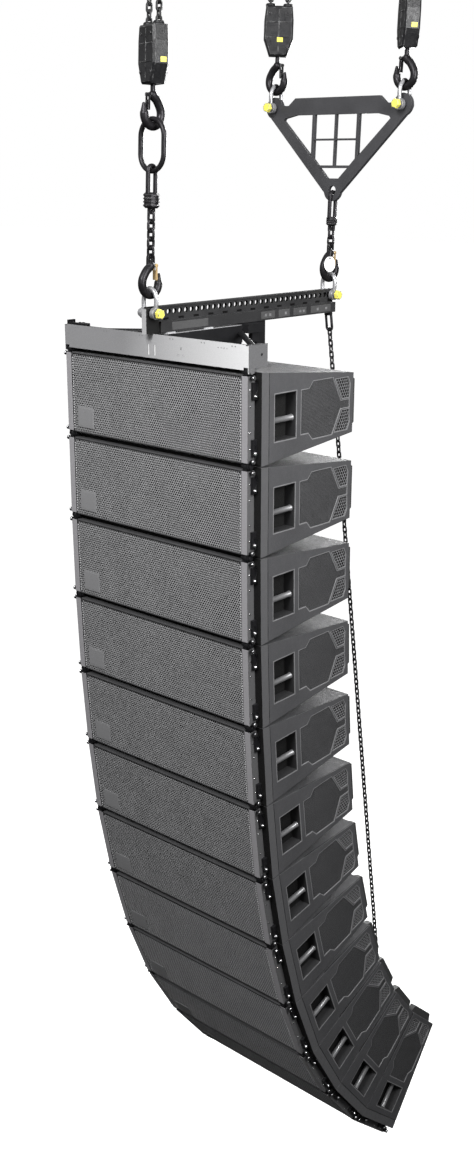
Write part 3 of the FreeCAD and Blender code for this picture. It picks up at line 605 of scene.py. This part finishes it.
def badge_plate():
    """Blank plate in the grille's lower left corner, with a raised middle."""
    x0, x1 = BADGE_X
    low, high = (GRILLE_Z[0] + rise for rise in BADGE_RISE)
    b = Build()
    b.box(x0, x1, GRILLE_FRONT - 1.4, GRILLE_FRONT + 0.6, low, high, 0.7)
    b.box(x0 + BADGE_BORDER, x1 - BADGE_BORDER, GRILLE_FRONT - 1.5, GRILLE_FRONT - 1.0,
          low + BADGE_BORDER, high - BADGE_BORDER, 0.2)
    return b.mesh("badge_plate", ["badge"])


# ------------------------------------------------------------------ cabinet sides
HALF_WIDTH = 500.0
# outlines as rearward place and height over the cabinet's middle, mirrored below it
SIDE_SHAPE = [(230, 82), (274, 82), (297, 107), (412, 106), (461, 17), (513, 17)]
VENT_SHAPE = [(420, 99), (502, 99), (516, 70), (512, 19), (465, 19)]
SHEET_DROP = 2.4
SIDE_PITCH = 5.6
SIDE_HOLE = 1.7
SIDE_DIP = 0.5
VENT_PITCH = 13.0
VENT_HOLE = 5.6
VENT_DIP = 1.8
TRIM = 3.2
TRIM_DROP = 0.3
TRIM_FOOT = 1.3
RECESS_Y = (88.0, 204.0)
RECESS_Z = (-250.0, -84.0)
RECESS_DEPTH = 46.0
RECESS_RIM = 4.0
RIM_PROUD = 0.9
LINER = 2.4
BAR_Z = -180.0
BAR_IN = 20.0
BAR_RADIUS = 10.5
BAR_COLLAR = 12.5


def side_place(side):
    """A function that puts rearward and upward places on one side wall, w inside the sheet."""
    def place(u, v, w):
        return Vector((side * (HALF_WIDTH - SHEET_DROP - w), u, v))
    return place


def side_meshes():
    """Fine side mesh, coarse vents, and the trim strips round them, on both sides of a cabinet."""
    middle = -PITCH / 2
    upper = [(y, middle + h) for y, h in SIDE_SHAPE]
    main = upper + [(y, middle - h) for y, h in reversed(SIDE_SHAPE)]
    vents = [[(y, middle + sign * h) for y, h in VENT_SHAPE] for sign in (1, -1)]
    y0, y1 = RECESS_Y[0] - RECESS_RIM, RECESS_Y[1] + RECESS_RIM
    z0, z1 = RECESS_Z[0] - RECESS_RIM, RECESS_Z[1] + RECESS_RIM
    recess = [(y0, z0), (y1, z0), (y1, z1), (y0, z1)]
    fine, coarse = [], []
    trims = Build()
    for side in (-1, 1):
        place = side_place(side)
        fine.append(perforated("side_sheet", main, SIDE_PITCH, SIDE_HOLE, SIDE_DIP, place, "mesh"))
        for vent in vents:
            coarse.append(perforated("vent_sheet", vent, VENT_PITCH, VENT_HOLE, VENT_DIP, place, "vent"))
        for outline in [main] + vents:
            trims.band(outline, TRIM, TRIM_DROP - SHEET_DROP, TRIM_FOOT, place)
        trims.band(recess, RECESS_RIM, -SHEET_DROP - RIM_PROUD, 0.0, place)
    return join(fine, "side_sheet"), join(coarse, "vent_sheet"), trims.mesh("side_trim", ["trim"])


def handle_mesh():
    """Lining of the hand recesses and the sleeve on each bar."""
    (y0, y1), (z0, z1) = RECESS_Y, RECESS_Z
    length = y1 - y0 - 2 * LINER
    sleeve = [(0, BAR_COLLAR), (3, BAR_COLLAR), (5, BAR_RADIUS), (length - 5, BAR_RADIUS),
              (length - 3, BAR_COLLAR), (length, BAR_COLLAR)]
    b = Build()
    for side in (-1, 1):
        x0, x1 = sorted((side * (HALF_WIDTH - RECESS_DEPTH + 0.4), side * (HALF_WIDTH - 0.3)))
        b.slot = 0
        for near, far in ((y0, y0 + LINER), (y1 - LINER, y1)):
            b.box(x0, x1, near, far, z0, z1, 0.5)
        for low, high in ((z0, z0 + LINER), (z1 - LINER, z1)):
            b.box(x0, x1, y0, y1, low, high, 0.5)
        b.slot = 1
        b.lathe((side * (HALF_WIDTH - BAR_IN), y0 + LINER, BAR_Z), (0, 1, 0), sleeve, 24)
    return b.mesh("handle", ["liner", "bar"])


# ------------------------------------------------------------------ cabinet hardware
SCREW_Y = 39.0
SCREW_RADIUS = 4.0
RAIL_SCREW_RADIUS = 3.4
STRIP_SCREWS_Z = (-34, -98, -165, -232, -296)
RAIL_SCREWS_Z = (-62, -120, -210, -268)
RAIL_OUT = 468.0
CATCH_X = RAIL_OUT + 13
BALL_RADIUS = 6.9
PIN_DISC = [(0, 7.8), (4, 8.2), (6.2, 8.2), (7.2, 6.4)]
CLIP_STEPS = 14
CLIP_BOW = 13.0
CLIP_WIRE = 1.1


def screw(b, place, direction, radius):
    """Pan-head screw with a flat top."""
    b.lathe(place, direction, [(0, radius), (0.9, radius), (1.7, radius * 0.72), (1.7, radius * 0.45)], 16)


def hardware_mesh():
    """Screws along the side strip, bright release balls, pins and formed wire clips at the rails."""
    b = Build()
    for side in (-1, 1):
        outward = (side, 0, 0)
        b.slot = 0
        for z in STRIP_SCREWS_Z:
            screw(b, (side * (HALF_WIDTH - 1.8), SCREW_Y, z), outward, SCREW_RADIUS)
        b.slot = 1
        for z in RAIL_SCREWS_Z:
            screw(b, (side * RAIL_OUT, -4, z), outward, RAIL_SCREW_RADIUS)
        for z in (-84.0, 48.0 - PITCH):
            b.ball((side * (CATCH_X + 1), 8, z), BALL_RADIUS)
        for z in (-20.0, 20.0 - PITCH):
            b.lathe((side * CATCH_X, -3, z), outward, PIN_DISC, 18)
        b.slot = 2
        for z0, z1 in ((-26.0, -82.0), (26.0 - PITCH, 80.0 - PITCH)):
            loop = []
            for k in range(CLIP_STEPS + 1):
                bow = math.sin(math.pi * k / CLIP_STEPS)
                z = z0 + (z1 - z0) * k / CLIP_STEPS
                loop.append((side * (CATCH_X + 3 * bow), 4 + CLIP_BOW * bow, z))
            b.tube(loop, CLIP_WIRE, 6)
    return b.mesh("hardware", ["trim", "steel", "black"])


# ------------------------------------------------------------------ cabinets
RECESS_SHADE = zone(grey(0.008), wide=(452.0, 499.0), y=(84.0, 208.0), z=(-254.0, -80.0))
FRONT_SHADE = zone(grey(0.006), y=(None, 20.6))
# painted shade: the housing wall behind the side mesh made near black
SHADE_BEHIND_MESH = zone(grey(0.006), wide=(494.0, 497.5), y=(215.0, 530.0))
SIDE_STRIP = zone((0.085, 0.085, 0.088), wide=(499.0, None), y=(20.5, 57.5))
STRIP_GROOVE = zone(grey(0.008), wide=(498.0, None), y=(57.9, 60.6))
HOUSING_ZONES = [RECESS_SHADE, FRONT_SHADE, SHADE_BEHIND_MESH, SIDE_STRIP, STRIP_GROOVE]
RAIL_FACE = zone((0.27, 0.265, 0.275), wide=(430.0, None), y=(None, -15.0))
RAIL_EDGE = zone((0.09, 0.09, 0.092), wide=(467.5, 468.6), y=(None, 19.0))
REAR_SKID = zone(grey(0.05), y=(533.0, None))
RAIL_ZONES = [RAIL_FACE, RAIL_EDGE, REAR_SKID]


def paint_cabinet(label, matrix):
    # the housing's coat, with painted shade in the hand recesses, behind the grille and behind the side mesh
    housing = surface("cabinet_paint_" + label, CABINET, 0.62, vary=0.12, grain=620.0, relief=0.9,
                      depth=0.0012, worn=grey(0.19), wear=0.45, matrix=matrix, zones=HOUSING_ZONES)
    rails = surface("rail_coat_" + label, BLACK, 0.38, vary=0.15, matrix=matrix, zones=RAIL_ZONES)
    paint_node("housing_" + label, housing)
    paint_node("rigging_" + label, rails)
    paint_node("drivers_" + label, MATERIALS["foam"])


def dress_cabinets():
    side_sheet, vent_sheet, side_trim = side_meshes()
    parts = [
        ("grille_sheet", grille_sheet(), "grille_steel"),
        ("grille_rim", grille_rim(), "grille_steel"),
        ("grille_foam", grille_foam(), "grille_steel"),
        ("badge_plate", badge_plate(), "grille_steel"),
        ("side_sheet", side_sheet, "grille_steel"),
        ("vent_sheet", vent_sheet, "grille_steel"),
        ("side_trim", side_trim, "grille_steel"),
        ("handle", handle_mesh(), "rigging_steel"),
        ("hardware", hardware_mesh(), "rigging_steel"),
    ]
    for number, matrix in enumerate(CABINETS, start=1):
        label = "%02d" % number
        for name, mesh, slot in parts:
            swap = ["grille_" + label] if name == "grille_sheet" else ()
            piece("%s_%s" % (name, label), mesh, body_name(number), matrix, swap)
        paint_cabinet(label, matrix)


# ------------------------------------------------------------------ rear chain
CHAIN_TUBE = 12.0
CHAIN_BAR = 3.7
CHAIN_BEND = 7.9
CHAIN_PITCH = 23.6
LINK_PLAY = 0.5
LEADER = 66.0
LEADER_LINK = 72.0
LEADER_BEND = 13.5
LEADER_BAR = 5.6
PIN_LENGTH = 34.0
LEADER_PIN = [(0, 6), (1, 7.4), (PIN_LENGTH - 1, 7.4), (PIN_LENGTH, 6)]


def chain_ends():
    """Ends of the CAD chain's middle line: the chain is a straight round bar across its box."""
    low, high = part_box("rear_chain")
    tube = CHAIN_TUBE * MM
    run = Vector((high.x - low.x, high.y - low.y, low.z - high.z))
    reach_x, reach_y, rise = (tube * math.sqrt(1 - part ** 2) for part in run.normalized())
    start = Vector((low.x + reach_x, low.y + reach_y, high.z - rise))
    end = Vector((high.x - reach_x, high.y - reach_y, low.z + rise))
    return start, end


def nurbs_points(controls):
    """Points of a smooth route through NURBS control points."""
    curve = bpy.data.curves.new("route", "CURVE")
    curve.dimensions = "3D"
    curve.resolution_u = 24
    spline = curve.splines.new("NURBS")
    spline.points.add(len(controls) - 1)
    for point, control in zip(spline.points, controls):
        point.co = (*control, 1.0)
    spline.order_u = 3
    spline.use_endpoint_u = True
    made = bpy.data.objects.new("route", curve)
    bpy.context.scene.collection.objects.link(made)
    bpy.context.view_layer.update()
    mesh = bpy.data.meshes.new_from_object(made)
    points = [v.co.copy() for v in mesh.vertices]
    bpy.data.objects.remove(made)
    bpy.data.curves.remove(curve)
    bpy.data.meshes.remove(mesh)
    return points


def chain_link(b, centre, along, across, length, bend, bar):
    """One welded link: two half rounds joined by straights, in the plane of along and across."""
    straight = (length - 2 * bend) / 2
    points = []
    for sign in (1, -1):
        for k in range(9):
            turn = math.pi * k / 8
            lengthwise = along * sign * (straight + bend * math.sin(turn))
            points.append(centre + lengthwise + across * sign * bend * math.cos(turn))
    b.tube(points, bar, 8, True)


def rear_chain():
    """Taut chain: a large link under the beam, then small links all the way down."""
    start, end = chain_ends()
    along = (end - start).normalized()
    side = along.cross(Vector((1, 0, 0))).normalized()
    other = along.cross(side)
    top = start / MM
    b = Build()
    chain_link(b, top + along * LEADER_LINK / 2, along, other, LEADER_LINK, LEADER_BEND, LEADER_BAR)
    b.lathe(top - other * PIN_LENGTH / 2 + along * 4, other, LEADER_PIN, 16)
    leader = piece("rear_chain_leader", b.mesh("chain_leader", ["forged"]), "array_frame")

    start += along * LEADER * MM
    route = nurbs_points([start, (start + end) / 2, end])
    length = (end - start).length / MM
    count = int(length / CHAIN_PITCH)
    step = length / count
    link = step + 2 * CHAIN_BAR - LINK_PLAY
    b = Build()
    for k in range(count):
        centre = start / MM + along * step * (k + 0.5)
        chain_link(b, centre, along, side if k % 2 else other, link, CHAIN_BEND, CHAIN_BAR)
    chain = piece("rear_chain_links", b.mesh("chain_links", ["forged"]), "array_frame",
                  replaces=["rear_chain"])


# ------------------------------------------------------------------ tackle details
PIN_HEAD = [(-0.4, 16.4), (-0.2, 18.8), (13.0, 18.8), (15.6, 15.2)]
PIN_HEAD_AT = 45.0
PIN_NUT = [(0, 11), (4, 11), (5.5, 9)]
PIN_NUT_AT = 49.2


def pin_cap(b, centre, outward):
    """Yellow six-sided head with a chamfer on one end of a shackle pin, and a steel nut on the other."""
    outward = Vector(outward)
    b.slot = 0
    b.lathe(centre + outward * PIN_HEAD_AT, outward, PIN_HEAD, 6)
    b.slot = 1
    b.lathe(centre - outward * PIN_NUT_AT, -outward, PIN_NUT, 6)


def pin_caps():
    for name, centre in (("front", FRONT_PICK), ("rear", REAR_PICK)):
        b = Build()
        pin_cap(b, centre, (1, 0, 0))
        mesh = b.mesh(name + "_pin_caps", ["yellow", "steel"])
        piece(name + "_pin_caps", mesh, name + "_pick")
    b = Build()
    for x in (-LOBE_X, LOBE_X):
        pin_cap(b, Vector((x, REAR_PICK.y, LOBE_Z)), (0, -1, 0))
    piece("lobe_pin_caps", b.mesh("lobe_pin_caps", ["yellow", "steel"]), "rear_pick")


TAG_AT = REAR_PICK + Vector((34.0, -42.0, 122.0))
TAG_EYE = REAR_PICK + Vector((9, -6, SHACKLE_TOP + 86))
TAG_HALF = (22.0, 30.0)
TAG_TURN = math.radians(38.0)
TAG_SHEET = 0.8
TAG_WIRE = 1.1
TAG_STEPS = 28
WIRE_STEPS = 24
WIRE_BOW = 10.0
EYELET = [(0, 3.0), (0.4, 3.6), (2.8, 3.6), (3.2, 3.0)]


def hook_tag():
    """Blank oval tag on a wire, tied through the rear hook's eye."""
    across = Vector((math.cos(TAG_TURN), math.sin(TAG_TURN), 0))
    outward = Vector((math.sin(TAG_TURN), -math.cos(TAG_TURN), 0))
    wide, tall = across * TAG_HALF[0], Vector((0, 0, TAG_HALF[1]))
    b = Build()
    sheet = [b.ring(TAG_AT + outward * TAG_SHEET * side, wide, tall, 1.0, TAG_STEPS) for side in (1, -1)]
    b.mark(b.walls(sheet) + b.caps(sheet))
    b.slot = 1
    top = TAG_AT + Vector((0, 0, TAG_HALF[1] - 7))
    b.lathe(top - outward * 1.6, outward, EYELET, 14)
    b.slot = 2
    wire = []
    for k in range(WIRE_STEPS + 1):
        turn = math.pi * k / WIRE_STEPS
        point = top.lerp(TAG_EYE, math.sin(turn / 2) ** 2)
        wire.append(point + outward * (2.4 + WIRE_BOW * math.sin(turn)))
    b.tube(wire, TAG_WIRE, 6)
    piece("rear_hook_tag", b.mesh("rear_hook_tag", ["tag", "foam", "steel"]), "rear_pick")


BLOCK_HALF = (59.0, 31.0)
BLOCK_RISE = 190.0
FALL_X = 35.0
# rises are shares of the block's height
SEAM_RISES = (0.36, 0.66)
SEAM_HEIGHT = 5.0
SEAM_IN = 13.0
SEAM_TOP = 0.92
CHEEK_BOLT = [(0, 6.2), (2.2, 6.2), (3, 5)]
CHEEK_BOLT_RISES = (0.2, 0.84)
CHEEK_BOLT_IN = 24.0
CHAIN_GUIDE = [(0, 20), (7, 20), (11, 16.4), (11, 15.2)]
NARROW_LABEL_RISE = 0.36
WIDE_LABEL_RISE = 0.28
LABEL_HEIGHT = 17.0
# node, body, its axis in plan, how far it is turned, and whether its label is on the narrow side
BLOCKS = (
    ("front_hoist_block", "front_hoist", (0.0, FRONT_PICK.y), -16.0, True),
    ("rear_hoist_block_left", "rear_hoist_left", (-LOBE_X, REAR_PICK.y), 42.0, False),
    ("rear_hoist_block_right", "rear_hoist_right", (LOBE_X, REAR_PICK.y), -40.0, True),
)


def block_mesh(name, on_narrow):
    """Seams, cheek bolts, chain guides on top and a blank label, round a hook block's axis."""
    w, d = BLOCK_HALF
    b = Build()
    for side in (-1, 1):
        face = side * d
        near, far = sorted((face - side, face + side * 1.2))
        b.slot = 0
        for rise in SEAM_RISES:
            foot = BLOCK_RISE * rise
            b.box(SEAM_IN - w, w - SEAM_IN, near, far, foot, foot + SEAM_HEIGHT, 0.6)
        b.box(-SEAM_HEIGHT / 2, SEAM_HEIGHT / 2, near, far, 12, BLOCK_RISE * SEAM_TOP, 0.6)
        b.slot = 1
        for u in (CHEEK_BOLT_IN - w, w - CHEEK_BOLT_IN):
            for rise in CHEEK_BOLT_RISES:
                b.lathe((u, face - side * 0.4, BLOCK_RISE * rise), (0, side, 0), CHEEK_BOLT, 6)
    b.slot = 0
    for u in (-FALL_X, FALL_X):
        b.lathe((u, 0, BLOCK_RISE - 1), (0, 0, 1), CHAIN_GUIDE, 20)
    b.slot = 2
    if on_narrow:
        foot = BLOCK_RISE * NARROW_LABEL_RISE
        b.box(w - 0.6, w + 0.8, -4, 18, foot, foot + LABEL_HEIGHT, 0.3)
    else:
        foot = BLOCK_RISE * WIDE_LABEL_RISE
        b.box(-6, 18, -d - 1.6, -d + 0.6, foot, foot + LABEL_HEIGHT, 0.3)
    return b.mesh(name, ["hoist", "forged", "yellow"])


def hoist_details():
    for name, body, (x, y), turned, on_narrow in BLOCKS:
        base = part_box(name)[0].z / MM
        turn = Matrix.Rotation(math.radians(turned), 4, "Z")
        place = Matrix.Translation(Vector((x, y, base)) * MM) @ turn
        piece(name + "_details", block_mesh(name + "_details", on_narrow), body, place)


SLEEVE_NECK = 0.72
RIB_PLACES = (-0.42, 0.0, 0.42)
# name, body, centre, radius and half length
SLEEVES = (
    ("front", "front_pick", FRONT_PICK + Vector((0, 0, 388)), 29.0, 27.0),
    ("rear", "rear_pick", REAR_PICK + Vector((0, 0, 290)), 22.5, 17.0),
)


def coupling_sleeves():
    """Eight-sided ribbed sleeves on the two chain couplings."""
    for name, body, centre, radius, half in SLEEVES:
        profile = [(-half, radius * SLEEVE_NECK), (-half * SLEEVE_NECK, radius)]
        for rib in RIB_PLACES:
            profile += [(half * (rib - 0.13), radius), (half * (rib - 0.1), radius * 0.9),
                        (half * (rib + 0.1), radius * 0.9), (half * (rib + 0.13), radius)]
        profile += [(half * SLEEVE_NECK, radius), (half, radius * SLEEVE_NECK)]
        b = Build()
        b.lathe(centre, (0, 0, 1), profile, 8)
        piece(name + "_coupling_sleeve", b.mesh(name + "_coupling_sleeve", ["forged"]), body)


NODE_COATS = {
    "front_sling": "front_sling",
    "rear_sling": "rear_sling",
    "delta_hooks": "lobes",
    "front_sling_latch": "tan",
    "rear_sling_latch": "tan",
    "front_hoist_block": "hoist",
    "rear_hoist_block_left": "hoist",
    "rear_hoist_block_right": "hoist",
    "delta_plate": "plate",
    "load_beam": "beam",
    "flying_frame": "frame",
}


def paint_tackle():
    for name, key in NODE_COATS.items():
        paint_node(name, MATERIALS[key])


# ------------------------------------------------------------------ flying frame and load beam, in its frame
PLATE_FACE = -16.0
RIVETS_Z = 82
RIVETS_X = (-410, -395, -250, -236, -60, -46, 96, 110, 250, 264, 395, 410)
RIVET = [(-1.5, 3.2), (-0.1, 3.2), (0.3, 2.6)]
PLUGS = ((150, 52), (137, 28), (163, 28))
PLUG = [(-1, 5.6), (0.2, 5.6), (0.3, 5.2)]
SMALL_PLUGS_X = (330, 345, 358, 372)
SMALL_PLUGS_Z = 72
SMALL_PLUG = [(-1, 3.0), (0.2, 3.0), (0.3, 2.6)]
BRACKET_X = (-457, -344)
BRACKET_Z = (91.5, 100)
BRACKET_END = 8
BRACKET_END_TOP = 108
BRACKET_BOLTS_X = (-430, -392, -366)
BRACKET_BOLT = [(-1, 4.6), (2.6, 4.6), (3.4, 3.6)]
STRIPS_X = (-14, 18)
STRIP_HALF = 3.4
STRIP_Z = (15.6, 54.4)
END_BOLTS = ((-4, 74), (2, 30), (52, 24))
END_BOLT = [(-1, 4.2), (0.2, 4.2), (0.3, 3.0)]


def frame_hardware():
    """Rivets, dark plugs and two light strips on the front plate, the left bracket, and end plate bolts."""
    forward = (0, -1, 0)
    b = Build()
    for x in RIVETS_X:
        b.lathe((x, PLATE_FACE + 0.2, RIVETS_Z), forward, RIVET, 12)
    b.slot = 1
    for x, z in PLUGS:
        b.lathe((x, PLATE_FACE + 0.3, z), forward, PLUG, 16)
    for x in SMALL_PLUGS_X:
        b.lathe((x, PLATE_FACE + 0.3, SMALL_PLUGS_Z), forward, SMALL_PLUG, 12)
    b.slot = 2
    (x0, x1), (z0, z1) = BRACKET_X, BRACKET_Z
    b.box(x0, x1, PLATE_FACE + 0.5, -3, z0, z1, 0.8)
    b.box(x0, x0 + BRACKET_END, PLATE_FACE + 0.5, 20, z0, BRACKET_END_TOP, 0.8)
    for x in BRACKET_BOLTS_X:
        b.lathe((x, -9, z1), (0, 0, 1), BRACKET_BOLT, 6)
    b.slot = 3
    for x in STRIPS_X:
        b.box(x - STRIP_HALF, x + STRIP_HALF, PLATE_FACE + 1.2, PLATE_FACE + 3.0, *STRIP_Z, 0.3)
    b.slot = 0
    for side in (-1, 1):
        for y, z in END_BOLTS:
            b.lathe((side * (END_FACE_X + 0.1), y, z), (side, 0, 0), END_BOLT, 6)
    mesh = b.mesh("frame_rivets", ["trim", "foam", "black", "tag"])
    piece("frame_rivets", mesh, "array_frame", FLYING_FRAME)


CHORD_HALF = 22.0
LABELS_Y = ((70, 260), (560, 640), (664, 730), (754, 834), (862, 990))
LABEL_Z = (100, 128)
SLOTS_Y = range(40, 990, 79)
SLOT_LENGTH = 28
SLOT_Z = (137, 145)
MARKS_Y = (580, 606, 700, 790, 812, 900, 955)
MARK_LENGTH = 12
MARK_Z = (108, 118)


def beam_details():
    """Blank labels with small marks on the chord, and the row of slots low in the web."""
    b = Build()
    for side in (-1, 1):
        face = side * CHORD_HALF
        x0, x1 = sorted((face - side * 0.4, face + side * 0.5))
        b.slot = 0
        for y0, y1 in LABELS_Y:
            b.box(x0, x1, y0, y1, *LABEL_Z, 0.2)
        b.slot = 1
        near, far = sorted((side * 5.6, side * 6.4))
        for y in SLOTS_Y:
            b.box(near, far, y, y + SLOT_LENGTH, *SLOT_Z, 0.3)
        b.slot = 2
        for y in MARKS_Y:
            b.box(x0, x1 + 0.1 * side, y, y + MARK_LENGTH, *MARK_Z, 0.1)
    mesh = b.mesh("beam_labels", ["label", "foam", "trim"])
    piece("beam_labels", mesh, "array_frame", FLYING_FRAME)


# ------------------------------------------------------------------ stage
FLOOR_HALF = 250000.0
FLOOR_DROP = 900.0
FLOOR_SHEET = 20.0
FLOOR_GLOW = 0.76
SKY_LOW, SKY_HIGH = 0.02, 0.62
SKY_FROM, SKY_TO = -0.35, 1.0
# name, place in metres, aim in metres with its height from the object's middle, size in metres, watts
LIGHTS = (
    ("key", (1.4, -4.6, 3.2), (0, 0, 1.6), (2.2, 2.2), 560),
    ("side", (3.6, -0.2, 1.2), (0.5, 0.3, 1.0), (1.6, 2.0), 250),
    ("left", (-4.6, -3.0, 1.6), (0, 0, 1.0), (1.6, 3.0), 30),
    ("back", (-1.6, 5.4, 1.2), (0, 0.4, 0.6), (2.4, 2.4), 420),
)


def softbox(name, place, target, size, power):
    data = bpy.data.lights.new(name, "AREA")
    data.shape = "RECTANGLE"
    data.size, data.size_y = size
    data.energy = power
    made = bpy.data.objects.new(name, data)
    made.location = place
    made.rotation_euler = (target - Vector(place)).to_track_quat("-Z", "Y").to_euler()
    bpy.context.scene.collection.objects.link(made)


def studio_world():
    """White backdrop to the eye, with the light itself coming mostly from above."""
    world = bpy.data.worlds.new("studio")
    bpy.context.scene.world = world
    world.use_nodes = True
    tree = world.node_tree
    background = tree.nodes["Background"]
    background.inputs["Color"].default_value = (1.0, 1.0, 1.0, 1.0)
    parts = tree.nodes.new("ShaderNodeSeparateXYZ")
    tree.links.new(tree.nodes.new("ShaderNodeTexCoord").outputs["Generated"], parts.inputs[0])
    rise = tree.nodes.new("ShaderNodeMapRange")
    for socket, number in zip(rise.inputs[1:5], (SKY_FROM, SKY_TO, SKY_LOW, SKY_HIGH)):
        socket.default_value = number
    tree.links.new(parts.outputs["Z"], rise.inputs[0])
    # the Mix node's sockets are 0 for the factor, 2 and 3 for the two numbers
    seen = tree.nodes.new("ShaderNodeMix")
    seen.inputs[3].default_value = 1.0
    tree.links.new(tree.nodes.new("ShaderNodeLightPath").outputs["Is Camera Ray"], seen.inputs[0])
    tree.links.new(rise.outputs[0], seen.inputs[2])
    tree.links.new(seen.outputs[0], background.inputs["Strength"])


def floor_paper():
    """Pale paper with a glow, so that it is as white as the backdrop."""
    paper = Shader("floor_paper")
    cloud = paper.noise(paper.node("TexCoord").outputs["Object"], 0.3)
    paper.link(paper.mix(cloud, grey(0.60), grey(0.62)), paper.bsdf.inputs["Base Color"])
    paper.bsdf.inputs["Roughness"].default_value = 0.9
    paper.bsdf.inputs["Specular IOR Level"].default_value = 0.0
    paper.bsdf.inputs["Emission Color"].default_value = (1.0, 1.0, 1.0, 1.0)
    paper.bsdf.inputs["Emission Strength"].default_value = FLOOR_GLOW
    return paper.material


def stage():
    low, high = CAD_BOX
    MATERIALS["floor"] = floor_paper()
    b = Build()
    top = low.z / MM - FLOOR_DROP
    b.box(-FLOOR_HALF, FLOOR_HALF, -FLOOR_HALF, FLOOR_HALF, top - FLOOR_SHEET, top, 0)
    floor = bpy.data.objects.new("floor", b.mesh("floor", ["floor"]))
    floor.visible_diffuse = False
    floor.visible_glossy = False
    bpy.context.scene.collection.objects.link(floor)
    studio_world()
    bpy.context.scene.view_settings.view_transform = "Standard"
    middle = Vector((0, 0, (low.z + high.z) / 2))
    for name, place, aim, size, power in LIGHTS:
        softbox(name, place, middle + Vector(aim), size, power)


# ------------------------------------------------------------------ camera, in metres and degrees
CAMERA_AT = (3.5215, -3.4323, 0.3602)
CAMERA_AZIMUTH = 41.729
CAMERA_DOWN = 15.528
CAMERA_ROLL = 1.882
CAMERA_LENS = 41.41


def camera():
    azimuth, down, roll = (math.radians(a) for a in (CAMERA_AZIMUTH, CAMERA_DOWN, CAMERA_ROLL))
    level = Vector((math.cos(azimuth), math.sin(azimuth), 0))
    ahead = Vector((-math.sin(azimuth), math.cos(azimuth), 0))
    forward = ahead * math.cos(down) - Vector((0, 0, math.sin(down)))
    right = level * math.cos(roll) + level.cross(forward) * math.sin(roll)
    turned = Matrix((right, right.cross(forward), -forward)).transposed()
    data = bpy.data.cameras.new("camera")
    data.lens = CAMERA_LENS
    made = bpy.data.objects.new("camera", data)
    made.matrix_world = Matrix.Translation(CAMERA_AT) @ turned.to_4x4()
    bpy.context.scene.collection.objects.link(made)
    bpy.context.scene.camera = made


dress_cabinets()
rear_chain()
pin_caps()
hook_tag()
hoist_details()
coupling_sleeves()
paint_tackle()
frame_hardware()
beam_details()
stage()
camera()
